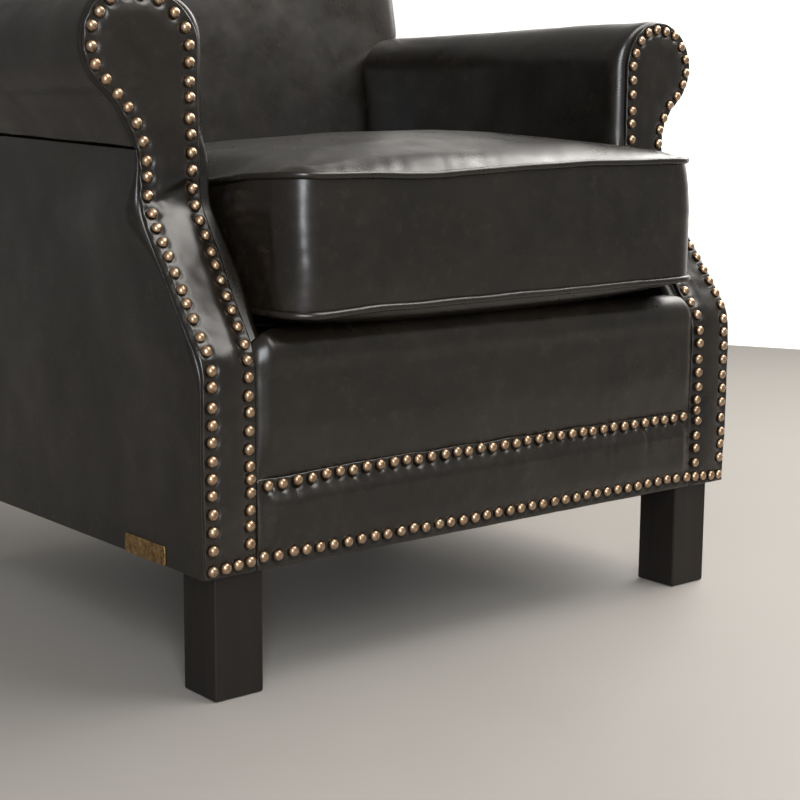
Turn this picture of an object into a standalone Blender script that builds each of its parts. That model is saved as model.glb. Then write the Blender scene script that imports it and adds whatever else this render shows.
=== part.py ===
"""A club chair on square legs: scroll arms with stepped fronts, a sprung seat and a loose boxed cushion."""

import math

import bmesh
import bpy
from mathutils import Matrix, Vector

# Sizes are in metres. Y is 0 at the arms' lower front face and grows to the back, Z is 0 on the floor.

# The body
BODY_WIDTH = 0.716
SEAT_WIDTH = 0.561
BACK_HEIGHT = 0.860
GAP = 0.0003
ARC_STEPS = 8

# Legs and their bolts
LEG_HEIGHT = 0.120
LEG_SIDE = 0.054
LEG_INSET = 0.014
LEG_SETBACK = 0.011
LEG_EDGE = 0.002
BOLT_RADIUS = 0.004
BOLT_CLEARANCE = 0.0003
BOLT_DEPTH = 0.035
BOLT_SIDES = 16

# Arm fronts, measured from the underside of the body
FRONT_LOWER_RUN = 0.1965
FRONT_SETBACK = 0.104
FRONT_RISE = 0.1410
FACING_WIDTH = 0.060
FACING_THICKNESS = 0.010
FACING_BORDER = 0.002

# Arm scroll
NECK_HEIGHT = 0.392
NECK_RADIUS = 0.050
NECK_DRAW = 0.001
ROLL_RADIUS = 0.054
ROLL_INSET = 0.006
ARM_PAD = 0.018

# Wood frame
POST_WIDTH = 0.050
POST_DEPTH = 0.045
SIDE_RAIL = 0.024
BACK_RAIL = 0.028
TOP_RAIL_HEIGHT = 0.045
SCROLL_BOARD = 0.018
SCROLL_BOARD_INSET = 0.012
ARM_RAIL_WIDTH = 0.030
ARM_RAIL_HEIGHT = 0.040
CORNER_BLOCK_LEG = 0.070
CORNER_BLOCK_HEIGHT = 0.050
CORNER_BLOCK_LIFT = 0.020

# Covers
SIDE_PANEL = 0.008
BACK_PANEL = 0.008
BORDER_RECESS = 0.003
BORDER_THICKNESS = 0.019
BORDER_DEPTH = 0.095
BORDER_ROUND = 0.022
BAND_HEIGHT = 0.086
BAND_EDGE = 0.003
DUST_COVER = 0.0015
DUST_COVER_INSET = 0.016
DUST_NOTCH_CLEARANCE = 0.002

# Seat deck and springs
DECK_HEIGHT = 0.335
DECK_THICKNESS = 0.028
SPRING_COUNT = 5
SPRING_SPACING = 0.098
SPRING_WIRE = 0.0019
SPRING_SWING = 0.022
SPRING_WAVE = 0.058
SPRING_WAVE_STEPS = 6
SPRING_BEARING = 0.020

# Back
BACK_RAKE = math.radians(9.0)
BACK_MEET_DEPTH = 0.585
BACK_MEET_HEIGHT = 0.527
BACK_THICKNESS = 0.125
BACK_PAD = 0.055
BACK_TOP_PAD = 0.030
BACK_BULGE = 0.010
BACK_CORNER = 0.065
WEBBING_COUNT = 4
WEBBING_WIDTH = 0.055
WEBBING_THICKNESS = 0.002
WEBBING_MARGIN = 0.035
WEBBING_CLEARANCE = 0.002

# Seat cushion and its welts
CUSHION_FRONT = -0.020
CUSHION_WIDTH = 0.546
CUSHION_BACK_CLEARANCE = 0.008
CUSHION_LOWER_EDGE = 0.3605
CUSHION_BOXING_HEIGHT = 0.127
CUSHION_CROWN = 0.038
CUSHION_SWELL = 0.040
CUSHION_CORNER = 0.036
CUSHION_DRAW = 0.004
CUSHION_SPANS = 12
BOXING_SPANS = 4
WELT_RADIUS = 0.003
WELT_ANGLE = math.radians(35.0)

# Brass plate
PLATE_LENGTH = 0.073
PLATE_HEIGHT = 0.019
PLATE_THICKNESS = 0.0008
PLATE_FRONT = 0.069
PLATE_LIFT = 0.0005

# Places that follow from the sizes above
HALF_WIDTH = BODY_WIDTH / 2
ARM_INNER = SEAT_WIDTH / 2
LOWER_BEND = LEG_HEIGHT + FRONT_LOWER_RUN
UPPER_BEND = LOWER_BEND + FRONT_RISE
BEND_SHIFT = math.tan(math.atan2(FRONT_SETBACK, FRONT_RISE) / 2)
NECK_Z = LEG_HEIGHT + NECK_HEIGHT
NECK_CENTRE = Vector((HALF_WIDTH - NECK_DRAW + NECK_RADIUS, NECK_Z))
ROLL_X = HALF_WIDTH - ROLL_INSET
ROLL_Z = NECK_Z + math.sqrt((NECK_RADIUS + ROLL_RADIUS) ** 2 - (NECK_CENTRE.x - ROLL_X) ** 2)
ROLL_TOP = ROLL_Z + ROLL_RADIUS
NECK_ANGLE = math.atan2(NECK_Z - ROLL_Z, NECK_CENTRE.x - ROLL_X)
POST_OUTER = HALF_WIDTH - SIDE_PANEL - GAP
POST_INNER = POST_OUTER - POST_WIDTH
POST_FRONT = FACING_THICKNESS + GAP
POST_BACK = POST_FRONT + POST_DEPTH
BOARD_BACK = FRONT_SETBACK + POST_FRONT + SCROLL_BOARD
ARM_RAIL_INNER = POST_OUTER - ARM_RAIL_WIDTH
DECK_UNDER = DECK_HEIGHT - DECK_THICKNESS
SPRING_Z = DECK_UNDER - GAP - SPRING_WIRE
RAIL_TOP = SPRING_Z - SPRING_WIRE - GAP
BORDER_BACK = BORDER_RECESS + BORDER_THICKNESS
WEBBING_FRONT = BACK_PAD + GAP
BACK_POST_FRONT = WEBBING_FRONT + WEBBING_THICKNESS + GAP
BACK_POST_BACK = BACK_THICKNESS - BACK_PANEL - GAP
BACK_ROUND = BACK_THICKNESS / 2
BACK_PANEL_TOP = BACK_HEIGHT - BACK_ROUND - BACK_TOP_PAD
CUSHION_UPPER_EDGE = CUSHION_LOWER_EDGE + CUSHION_BOXING_HEIGHT
FAR = 1.5

parts = None
cutters = None
chair = None


def clear_scene():
    for leftover in list(bpy.data.objects):
        bpy.data.objects.remove(leftover, do_unlink=True)


def new_collection(name):
    collection = bpy.data.collections.new(name)
    bpy.context.scene.collection.children.link(collection)
    return collection


def new_material(name, color, roughness, metallic=0.0):
    material = bpy.data.materials.new(name)
    material.use_nodes = True
    shader = material.node_tree.nodes["Principled BSDF"]
    shader.inputs["Base Color"].default_value = (*color, 1.0)
    shader.inputs["Roughness"].default_value = roughness
    shader.inputs["Metallic"].default_value = metallic
    return material


def add_part(name, mesh, material, parent=None):
    part = bpy.data.objects.new(name, mesh)
    mesh.materials.clear()
    mesh.materials.append(material)
    parts.objects.link(part)
    part.parent = parent or chair
    return part


def add_cutter(name, mesh):
    cutter = bpy.data.objects.new(name, mesh)
    cutter.hide_render = True
    cutter.display_type = "WIRE"
    cutters.objects.link(cutter)
    cutter.parent = chair
    return cutter


def cut(part, cutter, operation="DIFFERENCE"):
    modifier = part.modifiers.new(cutter.name, "BOOLEAN")
    modifier.operation = operation
    modifier.object = cutter
    modifier.solver = "EXACT"


def round_edges(part, width, segments=2):
    modifier = part.modifiers.new("Rounded edges", "BEVEL")
    modifier.width = width
    modifier.segments = segments
    modifier.limit_method = "ANGLE"
    modifier.angle_limit = math.radians(50.0)


def shade_round(mesh):
    mesh.shade_smooth()
    mesh.set_sharp_from_angle(angle=math.radians(35.0))


def mesh_of_curve(curve):
    """The closed mesh of a curve, with its loose caps welded on."""
    guide = bpy.data.objects.new("guide", curve)
    bpy.context.scene.collection.objects.link(guide)
    graph = bpy.context.evaluated_depsgraph_get()
    mesh = bpy.data.meshes.new_from_object(guide.evaluated_get(graph))
    bpy.data.objects.remove(guide, do_unlink=True)
    form = bmesh.new()
    form.from_mesh(mesh)
    bmesh.ops.remove_doubles(form, verts=form.verts, dist=0.000005)
    bmesh.ops.recalc_face_normals(form, faces=form.faces)
    form.to_mesh(mesh)
    form.free()
    return mesh


PLANES = {
    "XY": Matrix.Identity(4),
    "XZ": Matrix(((1, 0, 0, 0), (0, 0, -1, 0), (0, 1, 0, 0), (0, 0, 0, 1))),
    "YZ": Matrix(((0, 0, 1, 0), (1, 0, 0, 0), (0, 1, 0, 0), (0, 0, 0, 1))),
}
PLANE_NORMALS = {"XY": Vector((0, 0, 1)), "XZ": Vector((0, 1, 0)), "YZ": Vector((1, 0, 0))}


def prism(outline, plane, low, high):
    """A flat outline in the given plane, carried from one level to another across it."""
    curve = bpy.data.curves.new("outline", "CURVE")
    curve.dimensions = "2D"
    curve.fill_mode = "BOTH"
    curve.extrude = (high - low) / 2
    spline = curve.splines.new("POLY")
    spline.points.add(len(outline) - 1)
    for point, place in zip(spline.points, outline):
        point.co = (place[0], place[1], 0.0, 1.0)
    spline.use_cyclic_u = True
    mesh = mesh_of_curve(curve)
    mesh.transform(Matrix.Translation(PLANE_NORMALS[plane] * (low + high) / 2) @ PLANES[plane])
    return mesh


def box(low, high):
    form = bmesh.new()
    size = Vector(high) - Vector(low)
    middle = (Vector(high) + Vector(low)) / 2
    bmesh.ops.create_cube(form, size=1.0, matrix=Matrix.Translation(middle) @ Matrix.Diagonal((*size, 1.0)))
    mesh = bpy.data.meshes.new("box")
    form.to_mesh(mesh)
    form.free()
    return mesh


def rod(centre, low, high, radius):
    form = bmesh.new()
    place = Matrix.Translation((centre[0], centre[1], (low + high) / 2))
    bmesh.ops.create_cone(
        form,
        cap_ends=True,
        segments=BOLT_SIDES,
        radius1=radius,
        radius2=radius,
        depth=high - low,
        matrix=place,
    )
    mesh = bpy.data.meshes.new("rod")
    form.to_mesh(mesh)
    form.free()
    return mesh


def tube(points, radius, cyclic, sides_step):
    curve = bpy.data.curves.new("tube", "CURVE")
    curve.dimensions = "3D"
    curve.bevel_depth = radius
    curve.bevel_resolution = sides_step
    curve.use_fill_caps = not cyclic
    spline = curve.splines.new("POLY")
    spline.points.add(len(points) - 1)
    for point, place in zip(spline.points, points):
        point.co = (*place, 1.0)
    spline.use_cyclic_u = cyclic
    mesh = mesh_of_curve(curve)
    shade_round(mesh)
    return mesh


def arc(centre, radius_x, radius_z, start, end, steps=ARC_STEPS):
    """Points along part of an ellipse, both ends among them, with angles in radians."""
    turns = [start + (end - start) * step / steps for step in range(steps + 1)]
    return [(centre[0] + radius_x * math.cos(a), centre[1] + radius_z * math.sin(a)) for a in turns]


def mirrored(outline, side):
    return [(side * x, z) for x, z in outline]


def span(side, near, far):
    """The low and high X of a stretch that lies from near to far on one side of the chair."""
    return sorted((side * near, side * far))


def front_line(depth, low, high):
    """The stepped front of the arms, at a depth behind the leather, from one height up to another."""
    bends = [
        (depth, LOWER_BEND - depth * BEND_SHIFT),
        (FRONT_SETBACK + depth, UPPER_BEND - depth * BEND_SHIFT),
    ]
    slope = FRONT_SETBACK / FRONT_RISE

    def y_at(z):
        return depth + min(max((z - bends[0][1]) * slope, 0.0), FRONT_SETBACK)

    return [(y_at(low), low)] + [bend for bend in bends if low < bend[1] < high] + [(y_at(high), high)]


def back_y(depth, z):
    """Y of the raked plane that lies a depth behind the face of the inside back, at a height."""
    return BACK_MEET_DEPTH + depth / math.cos(BACK_RAKE) + (z - BACK_MEET_HEIGHT) * math.tan(BACK_RAKE)


def raked(near, far, low, high):
    """Side outline of a piece of the back between two depths and two heights."""
    corners = ((near, low), (far, low), (far, high), (near, high))
    return [(back_y(depth, z), z) for depth, z in corners]


def scroll_outline(grow):
    """The arm scroll's outer curve, from its crest over the outside to the neck, grown or shrunk evenly."""
    roll = ROLL_RADIUS + grow
    hollow = NECK_RADIUS - grow
    over = arc((ROLL_X, ROLL_Z), roll, roll, math.pi / 2, NECK_ANGLE, 2 * ARC_STEPS)
    neck = arc(NECK_CENTRE, hollow, hollow, NECK_ANGLE + math.pi, math.pi)
    return over + neck[1:]


def inner_shoulder(grow):
    """The inside arm's curve from its face up to the crest of the scroll."""
    width = ROLL_X - ARM_INNER + grow
    return arc((ROLL_X, ROLL_Z), width, ROLL_RADIUS + grow, math.pi, math.pi / 2)[:-1]


def leg_places():
    x = HALF_WIDTH - LEG_INSET - LEG_SIDE / 2
    front = LEG_SETBACK + LEG_SIDE / 2
    back = back_y(BACK_THICKNESS, LEG_HEIGHT) - LEG_SETBACK - LEG_SIDE / 2
    return {
        "front_left": (-x, front),
        "front_right": (x, front),
        "back_left": (-x, back),
        "back_right": (x, back),
    }


def make_legs(wood, steel):
    """Square legs, bored for the bolts that hold them to the posts."""
    half = LEG_SIDE / 2
    top = LEG_HEIGHT - GAP
    for corner, (x, y) in leg_places().items():
        leg = add_part(f"leg_{corner}", box((x - half, y - half, 0), (x + half, y + half, top)), wood)
        round_edges(leg, LEG_EDGE)
        bore = rod((x, y), top - BOLT_DEPTH - GAP, top + BOLT_DEPTH, BOLT_RADIUS + BOLT_CLEARANCE)
        cut(leg, add_cutter(f"leg_bore_{corner}", bore))
        bolt = rod((x, y), top - BOLT_DEPTH, LEG_HEIGHT + BOLT_DEPTH, BOLT_RADIUS)
        shade_round(bolt)
        add_part(f"leg_bolt_{corner}", bolt, steel)


def bore_post(post, corner):
    x, y = leg_places()[corner]
    bore = rod((x, y), LEG_HEIGHT - BOLT_DEPTH, LEG_HEIGHT + BOLT_DEPTH + GAP, BOLT_RADIUS + BOLT_CLEARANCE)
    cut(post, add_cutter(f"post_bore_{corner}", bore))


def make_seat_frame(wood):
    """Front, side and back rails with a glued block in each corner."""
    reach = POST_INNER - GAP
    front = box((-reach, BORDER_BACK + GAP, LEG_HEIGHT), (reach, POST_BACK, RAIL_TOP))
    add_part("front_rail", front, wood)
    back_outline = raked(BACK_POST_FRONT, BACK_POST_FRONT + BACK_RAIL, LEG_HEIGHT, RAIL_TOP)
    add_part("back_rail", prism(back_outline, "YZ", -reach, reach), wood)
    rail_inner = POST_OUTER - SIDE_RAIL
    side_outline = front_line(POST_BACK + GAP, LEG_HEIGHT, RAIL_TOP)
    side_outline += [
        (back_y(BACK_POST_FRONT - GAP, RAIL_TOP), RAIL_TOP),
        (back_y(BACK_POST_FRONT - GAP, LEG_HEIGHT), LEG_HEIGHT),
    ]
    low = LEG_HEIGHT + CORNER_BLOCK_LIFT
    block_front = POST_BACK + GAP
    block_back = back_y(BACK_POST_FRONT, low) - GAP
    for side, word in ((-1, "left"), (1, "right")):
        add_part(f"side_rail_{word}", prism(side_outline, "YZ", *span(side, rail_inner, POST_OUTER)), wood)
        edge = rail_inner - GAP
        for end, y, way in (("front", block_front, 1), ("back", block_back, -1)):
            triangle = [(edge, y), (edge - CORNER_BLOCK_LEG, y), (edge, y + way * CORNER_BLOCK_LEG)]
            block = prism(mirrored(triangle, side), "XY", low, low + CORNER_BLOCK_HEIGHT)
            add_part(f"corner_block_{end}_{word}", block, wood)


def make_springs(steel):
    """Sinuous wire springs that lie on the front and back rails."""
    start = POST_BACK - SPRING_BEARING
    end = back_y(BACK_POST_FRONT, RAIL_TOP) + SPRING_BEARING
    lead = SPRING_BEARING + SPRING_WAVE / 2
    waves = max(1, round((end - start - 2 * lead) / SPRING_WAVE))
    run = (end - start - 2 * lead) / waves
    steps = waves * SPRING_WAVE_STEPS
    for number in range(SPRING_COUNT):
        x = (number - (SPRING_COUNT - 1) / 2) * SPRING_SPACING
        points = [(x, start, SPRING_Z)]
        for step in range(steps + 1):
            turn = step / SPRING_WAVE_STEPS
            swing = SPRING_SWING * math.sin(2 * math.pi * turn)
            points.append((x + swing, start + lead + run * turn, SPRING_Z))
        points.append((x, end, SPRING_Z))
        add_part(f"seat_spring_{number + 1}", tube(points, SPRING_WIRE, False, 0), steel)


def make_deck(cloth):
    """The padded deck that the cushion lies on, and the dust cover under the frame."""
    reach = ARM_INNER - GAP
    outline = [
        (BORDER_DEPTH + GAP, DECK_UNDER),
        (back_y(-GAP, DECK_UNDER), DECK_UNDER),
        (back_y(-GAP, DECK_HEIGHT), DECK_HEIGHT),
        (BORDER_DEPTH + GAP, DECK_HEIGHT),
    ]
    add_part("seat_deck", prism(outline, "YZ", -reach, reach), cloth)
    side = HALF_WIDTH - DUST_COVER_INSET
    front = DUST_COVER_INSET
    back = back_y(BACK_THICKNESS, LEG_HEIGHT) - DUST_COVER_INSET
    notch_x = HALF_WIDTH - LEG_INSET - LEG_SIDE - DUST_NOTCH_CLEARANCE
    notch_front = LEG_SETBACK + LEG_SIDE + DUST_NOTCH_CLEARANCE
    notch_back = back_y(BACK_THICKNESS, LEG_HEIGHT) - LEG_SETBACK - LEG_SIDE - DUST_NOTCH_CLEARANCE
    right = [
        (notch_x, front),
        (notch_x, notch_front),
        (side, notch_front),
        (side, notch_back),
        (notch_x, notch_back),
        (notch_x, back),
    ]
    left = mirrored(reversed(right), -1)
    top = LEG_HEIGHT - GAP
    add_part("dust_cover", prism(right + left, "XY", top - DUST_COVER, top), cloth)


def make_arm_frame(side, word, wood):
    """An arm's stepped front post, the scroll board that stands on it and the rail that runs to the back."""
    front = front_line(POST_FRONT, LEG_HEIGHT, NECK_Z)
    rear = front_line(POST_BACK, LEG_HEIGHT, NECK_Z)
    post = prism(front + rear[::-1], "YZ", *span(side, POST_INNER, POST_OUTER))
    post = add_part(f"arm_post_{word}", post, wood)
    bore_post(post, f"front_{word}")
    board_outline = scroll_outline(-SCROLL_BOARD_INSET)
    foot = board_outline[-1][0]
    board_radius = ROLL_RADIUS - SCROLL_BOARD_INSET
    shoulder = arc((ROLL_X, ROLL_Z), board_radius, board_radius, math.pi, math.pi / 2)
    heel = shoulder[0][0]
    outline = [(heel, NECK_Z + GAP)] + shoulder[:-1] + board_outline[:-1] + [(foot, NECK_Z + GAP)]
    low = FRONT_SETBACK + POST_FRONT
    board = prism(mirrored(outline, side), "XZ", low, low + SCROLL_BOARD)
    add_part(f"scroll_board_{word}", board, wood)
    rail_low = ROLL_Z - ARM_RAIL_HEIGHT / 2
    rail_high = ROLL_Z + ARM_RAIL_HEIGHT / 2
    rail_outline = [
        (BOARD_BACK + GAP, rail_low),
        (back_y(BACK_POST_FRONT - GAP, rail_low), rail_low),
        (back_y(BACK_POST_FRONT - GAP, rail_high), rail_high),
        (BOARD_BACK + GAP, rail_high),
    ]
    rail = prism(rail_outline, "YZ", *span(side, ARM_RAIL_INNER, POST_OUTER))
    add_part(f"arm_rail_{word}", rail, wood)
    pocket = [(heel - GAP, 0.0), (heel - GAP, ROLL_Z)]
    pocket += arc((ROLL_X, ROLL_Z), ROLL_X - heel + GAP, ROLL_X - heel + GAP, math.pi, math.pi / 2)[1:-1]
    pocket += scroll_outline(GAP - SCROLL_BOARD_INSET)[:-1] + [(foot + GAP, NECK_Z), (foot + GAP, 0.0)]
    board_cutter = add_cutter(
        f"scroll_pocket_{word}", prism(mirrored(pocket, side), "XZ", -FAR, BOARD_BACK + GAP)
    )
    low_x, high_x = span(side, ARM_RAIL_INNER - GAP, POST_OUTER + GAP)
    tunnel = box((low_x, low, rail_low - GAP), (high_x, FAR, rail_high + GAP))
    return board_cutter, add_cutter(f"rail_tunnel_{word}", tunnel)


def make_arm_covers(side, word, pocket, tunnel, leather):
    """An arm's pad with its roll, its outside panel and the facing on its front."""
    leaf = ARM_INNER + ARM_PAD
    outline = [(ARM_INNER, DECK_UNDER)] + inner_shoulder(0.0) + scroll_outline(0.0)
    outline += [(leaf, NECK_Z), (leaf, DECK_UNDER)]
    pad = add_part(f"arm_pad_{word}", prism(mirrored(outline, side), "XZ", -FAR, FAR), leather)
    high = ROLL_TOP + NECK_RADIUS
    ends = front_line(POST_FRONT, 0.0, high) + [(back_y(BACK_PAD, high), high), (back_y(BACK_PAD, 0.0), 0.0)]
    cut(pad, add_cutter(f"arm_ends_{word}", prism(ends, "YZ", -FAR, FAR)), "INTERSECT")
    cut(pad, pocket)
    cut(pad, tunnel)

    top = NECK_Z - GAP
    panel_outline = front_line(POST_FRONT, LEG_HEIGHT, top)
    panel_outline += [(back_y(BACK_POST_BACK, top), top), (back_y(BACK_POST_BACK, LEG_HEIGHT), LEG_HEIGHT)]
    panel = prism(panel_outline, "YZ", *span(side, HALF_WIDTH - SIDE_PANEL, HALF_WIDTH))
    add_part(f"outside_arm_{word}", panel, leather)

    inner = HALF_WIDTH - FACING_WIDTH
    head = scroll_outline(-FACING_BORDER)
    head_radius = ROLL_RADIUS - FACING_BORDER
    crown = arc((ROLL_X, ROLL_Z), head_radius, head_radius, math.pi, math.pi / 2)
    shape = [(inner, LEG_HEIGHT), (inner, UPPER_BEND)] + crown[:-1] + head
    shape += [(HALF_WIDTH, LOWER_BEND), (HALF_WIDTH, LEG_HEIGHT)]
    facing = add_part(f"arm_facing_{word}", prism(mirrored(shape, side), "XZ", -FAR, FAR), leather)
    strip = front_line(0.0, 0.0, high) + front_line(FACING_THICKNESS, 0.0, high)[::-1]
    cut(facing, add_cutter(f"facing_strip_{word}", prism(strip, "YZ", -FAR, FAR)), "INTERSECT")


def make_front(leather):
    """The padded border that rolls over the front rail into the deck, and the nailed band below it."""
    reach = HALF_WIDTH - FACING_WIDTH - GAP
    band_top = LEG_HEIGHT + BAND_HEIGHT
    roll_centre = (BORDER_RECESS + BORDER_ROUND, DECK_HEIGHT - BORDER_ROUND)
    outline = [(BORDER_BACK, band_top + GAP), (BORDER_RECESS, band_top + GAP)]
    outline += arc(roll_centre, BORDER_ROUND, BORDER_ROUND, math.pi, math.pi / 2)
    outline += [(BORDER_DEPTH, DECK_HEIGHT), (BORDER_DEPTH, DECK_UNDER), (BORDER_BACK, DECK_UNDER)]
    border = prism(outline, "YZ", -reach, reach)
    inner = ARM_INNER - GAP
    border = add_part("front_border", border, leather)
    shade_round(border.data)
    for side, word in ((-1, "left"), (1, "right")):
        x_low, x_high = span(side, inner, FAR)
        corner = box((x_low, POST_FRONT - GAP, 0.0), (x_high, FAR, FAR))
        cut(border, add_cutter(f"border_corner_{word}", corner))
    band = box((-reach, BORDER_RECESS, LEG_HEIGHT), (reach, BORDER_BACK, band_top))
    round_edges(add_part("front_band", band, leather), BAND_EDGE)


def make_back_frame(wood, cloth):
    """Raked back posts, the top rail across them and the webbing straps that carry the back pad."""
    post_top = BACK_PANEL_TOP - TOP_RAIL_HEIGHT
    for side, word in ((-1, "left"), (1, "right")):
        outline = raked(BACK_POST_FRONT, BACK_POST_BACK, LEG_HEIGHT, post_top)
        post = add_part(f"back_post_{word}", prism(outline, "YZ", *span(side, POST_INNER, POST_OUTER)), wood)
        bore_post(post, f"back_{word}")
    rail = raked(BACK_POST_FRONT, BACK_POST_BACK, post_top + GAP, BACK_PANEL_TOP)
    add_part("back_top_rail", prism(rail, "YZ", -POST_OUTER, POST_OUTER), wood)
    strap_reach = ARM_RAIL_INNER - WEBBING_CLEARANCE
    lowest = DECK_HEIGHT + WEBBING_MARGIN
    step = (post_top - WEBBING_MARGIN - WEBBING_WIDTH - lowest) / (WEBBING_COUNT - 1)
    for number in range(WEBBING_COUNT):
        low = lowest + number * step
        outline = raked(WEBBING_FRONT, WEBBING_FRONT + WEBBING_THICKNESS, low, low + WEBBING_WIDTH)
        add_part(f"back_webbing_{number + 1}", prism(outline, "YZ", -strap_reach, strap_reach), cloth)


def back_side_outline():
    """Side outline of the whole back pad: a gently bulged face, a round top and a flat rear."""
    crown = BACK_HEIGHT - BACK_ROUND
    centre_y = back_y(BACK_ROUND, crown)
    face = [(back_y(0.0, DECK_UNDER), DECK_UNDER)]
    for step in range(ARC_STEPS + 1):
        share = step / ARC_STEPS
        z = DECK_HEIGHT + (crown - DECK_HEIGHT) * share
        face.append((back_y(-BACK_BULGE * math.sin(math.pi * share), z), z))
    over = arc((centre_y, crown), BACK_ROUND / math.cos(BACK_RAKE), BACK_ROUND, math.pi, 0.0, 2 * ARC_STEPS)
    return face + over[1:] + [(back_y(BACK_THICKNESS, DECK_UNDER), DECK_UNDER)]


def make_back_covers(leather):
    """The inside back, wrapped over the top and sides of the frame, and the panel that closes its rear."""
    corner_z = BACK_HEIGHT - BACK_CORNER
    right = [(HALF_WIDTH, 0.0)]
    right += arc((HALF_WIDTH - BACK_CORNER, corner_z), BACK_CORNER, BACK_CORNER, 0.0, math.pi / 2)
    outline = right + mirrored(reversed(right), -1)
    inside = add_part("inside_back", prism(outline, "XZ", 0.0, FAR), leather)
    cut(inside, add_cutter("back_side_shape", prism(back_side_outline(), "YZ", -FAR, FAR)), "INTERSECT")

    hollow = raked(BACK_PAD, 2 * BACK_THICKNESS, 0.0, BACK_PANEL_TOP + GAP)
    reach = HALF_WIDTH - SIDE_PANEL
    cut(inside, add_cutter("back_hollow", prism(hollow, "YZ", -reach, reach)))
    rear = raked(BACK_POST_BACK, 3 * BACK_THICKNESS, -GAP, BACK_PANEL_TOP + GAP)
    cut(inside, add_cutter("back_panel_seat", prism(rear, "YZ", -FAR, FAR)))
    for side, word in ((-1, "left"), (1, "right")):
        arm = [(ARM_INNER - GAP, 0.0)] + inner_shoulder(GAP) + scroll_outline(GAP)[:-1]
        arm += [(FAR, NECK_Z), (FAR, 0.0)]
        arm_cutter = add_cutter(f"arm_clearance_{word}", prism(mirrored(arm, side), "XZ", 0.0, FAR))
        room = raked(-FAR, BACK_PAD + GAP, 0.0, FAR)
        cut(arm_cutter, add_cutter(f"arm_clearance_end_{word}", prism(room, "YZ", -FAR, FAR)), "INTERSECT")
        cut(inside, arm_cutter)
        low_x, high_x = span(side, ARM_INNER - GAP, FAR)
        below = box((low_x, 0.0, 0.0), (high_x, FAR, NECK_Z + GAP))
        cut(inside, add_cutter(f"side_panel_clearance_{word}", below))
    panel = raked(BACK_THICKNESS - BACK_PANEL, BACK_THICKNESS, LEG_HEIGHT, BACK_PANEL_TOP)
    add_part("outside_back", prism(panel, "YZ", -HALF_WIDTH, HALF_WIDTH), leather)


def cushion_back():
    return back_y(-BACK_BULGE, CUSHION_LOWER_EDGE) - CUSHION_BACK_CLEARANCE


def cushion_plan(a, b):
    """Plan place of a point of the cushion, from two shares from -1 to 1: rounded corners, drawn-in sides."""
    half = Vector((CUSHION_WIDTH / 2, (cushion_back() - CUSHION_FRONT) / 2))
    share = Vector((math.sin(a * math.pi / 2), math.sin(b * math.pi / 2)))
    place = Vector((share.x * half.x, share.y * half.y))
    over = Vector((abs(place.x) - half.x + CUSHION_CORNER, abs(place.y) - half.y + CUSHION_CORNER))
    if over.x > 0.0 and over.y > 0.0:
        pull = 1.0 - max(over.x, over.y) / over.length
        place.x -= math.copysign(over.x * pull, place.x)
        place.y -= math.copysign(over.y * pull, place.y)
    drawn = Vector((1.0 - share.y**2, 1.0 - share.x**2))
    place.x -= CUSHION_DRAW * drawn.x * share.x * abs(share.x)
    place.y -= CUSHION_DRAW * drawn.y * share.y * abs(share.y)
    return Vector((place.x, place.y + (cushion_back() + CUSHION_FRONT) / 2))


def cushion_rise(a, b):
    """How far the cushion's top or underside has swelled at a point, as a share of its crown."""
    across = 1.0 - abs(math.sin(a * math.pi / 2)) ** 2.4
    along = 1.0 - abs(math.sin(b * math.pi / 2)) ** 2.4
    return math.sqrt(max(across * along, 0.0))


def make_cushion(leather, lift):
    """The loose seat cushion: a boxed form, crowned above and flattened where it lies on the deck."""
    form = bmesh.new()
    bmesh.ops.create_cube(form, size=2.0)
    level = [edge for edge in form.edges if abs(edge.verts[0].co.z - edge.verts[1].co.z) < 0.5]
    bmesh.ops.subdivide_edges(form, edges=level, cuts=CUSHION_SPANS - 1, use_grid_fill=True)
    upright = [edge for edge in form.edges if abs(edge.verts[0].co.z - edge.verts[1].co.z) > 0.5]
    bmesh.ops.subdivide_edges(form, edges=upright, cuts=BOXING_SPANS - 1, use_grid_fill=True)
    lowest = DECK_HEIGHT + GAP
    for vertex in form.verts:
        a, b, c = vertex.co
        place = cushion_plan(a, b)
        z = CUSHION_LOWER_EDGE + CUSHION_BOXING_HEIGHT * (c + 1) / 2
        if c > 0.999:
            z += CUSHION_CROWN * cushion_rise(a, b)
        elif c < -0.999:
            z = max(z - CUSHION_SWELL * cushion_rise(a, b), lowest)
        vertex.co = (place.x, place.y, z)
    mesh = bpy.data.meshes.new("seat_cushion")
    form.to_mesh(mesh)
    form.free()
    shade_round(mesh)
    mesh.transform(Matrix.Translation(-lift.location))
    add_part("seat_cushion", mesh, leather, lift)


def make_welts(leather, lift):
    """Piping sewn round the upper and lower edges of the cushion's boxing."""
    shares = [2 * step / CUSHION_SPANS - 1 for step in range(CUSHION_SPANS)]
    loop = [(share, -1.0) for share in shares] + [(1.0, share) for share in shares]
    loop += [(-share, 1.0) for share in shares] + [(-1.0, -share) for share in shares]
    plan = [cushion_plan(a, b) for a, b in loop]
    stand_off = WELT_RADIUS + GAP
    for name, z, way in (
        ("cushion_welt_upper", CUSHION_UPPER_EDGE, 1),
        ("cushion_welt_lower", CUSHION_LOWER_EDGE, -1),
    ):
        points = []
        for number, place in enumerate(plan):
            along = plan[(number + 1) % len(plan)] - plan[number - 1]
            outward = Vector((along.y, -along.x)).normalized() * stand_off * math.cos(WELT_ANGLE)
            height = z + way * stand_off * math.sin(WELT_ANGLE)
            points.append(Vector((place.x + outward.x, place.y + outward.y, height)) - lift.location)
        add_part(name, tube(points, WELT_RADIUS, True, 1), leather, lift)


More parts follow.
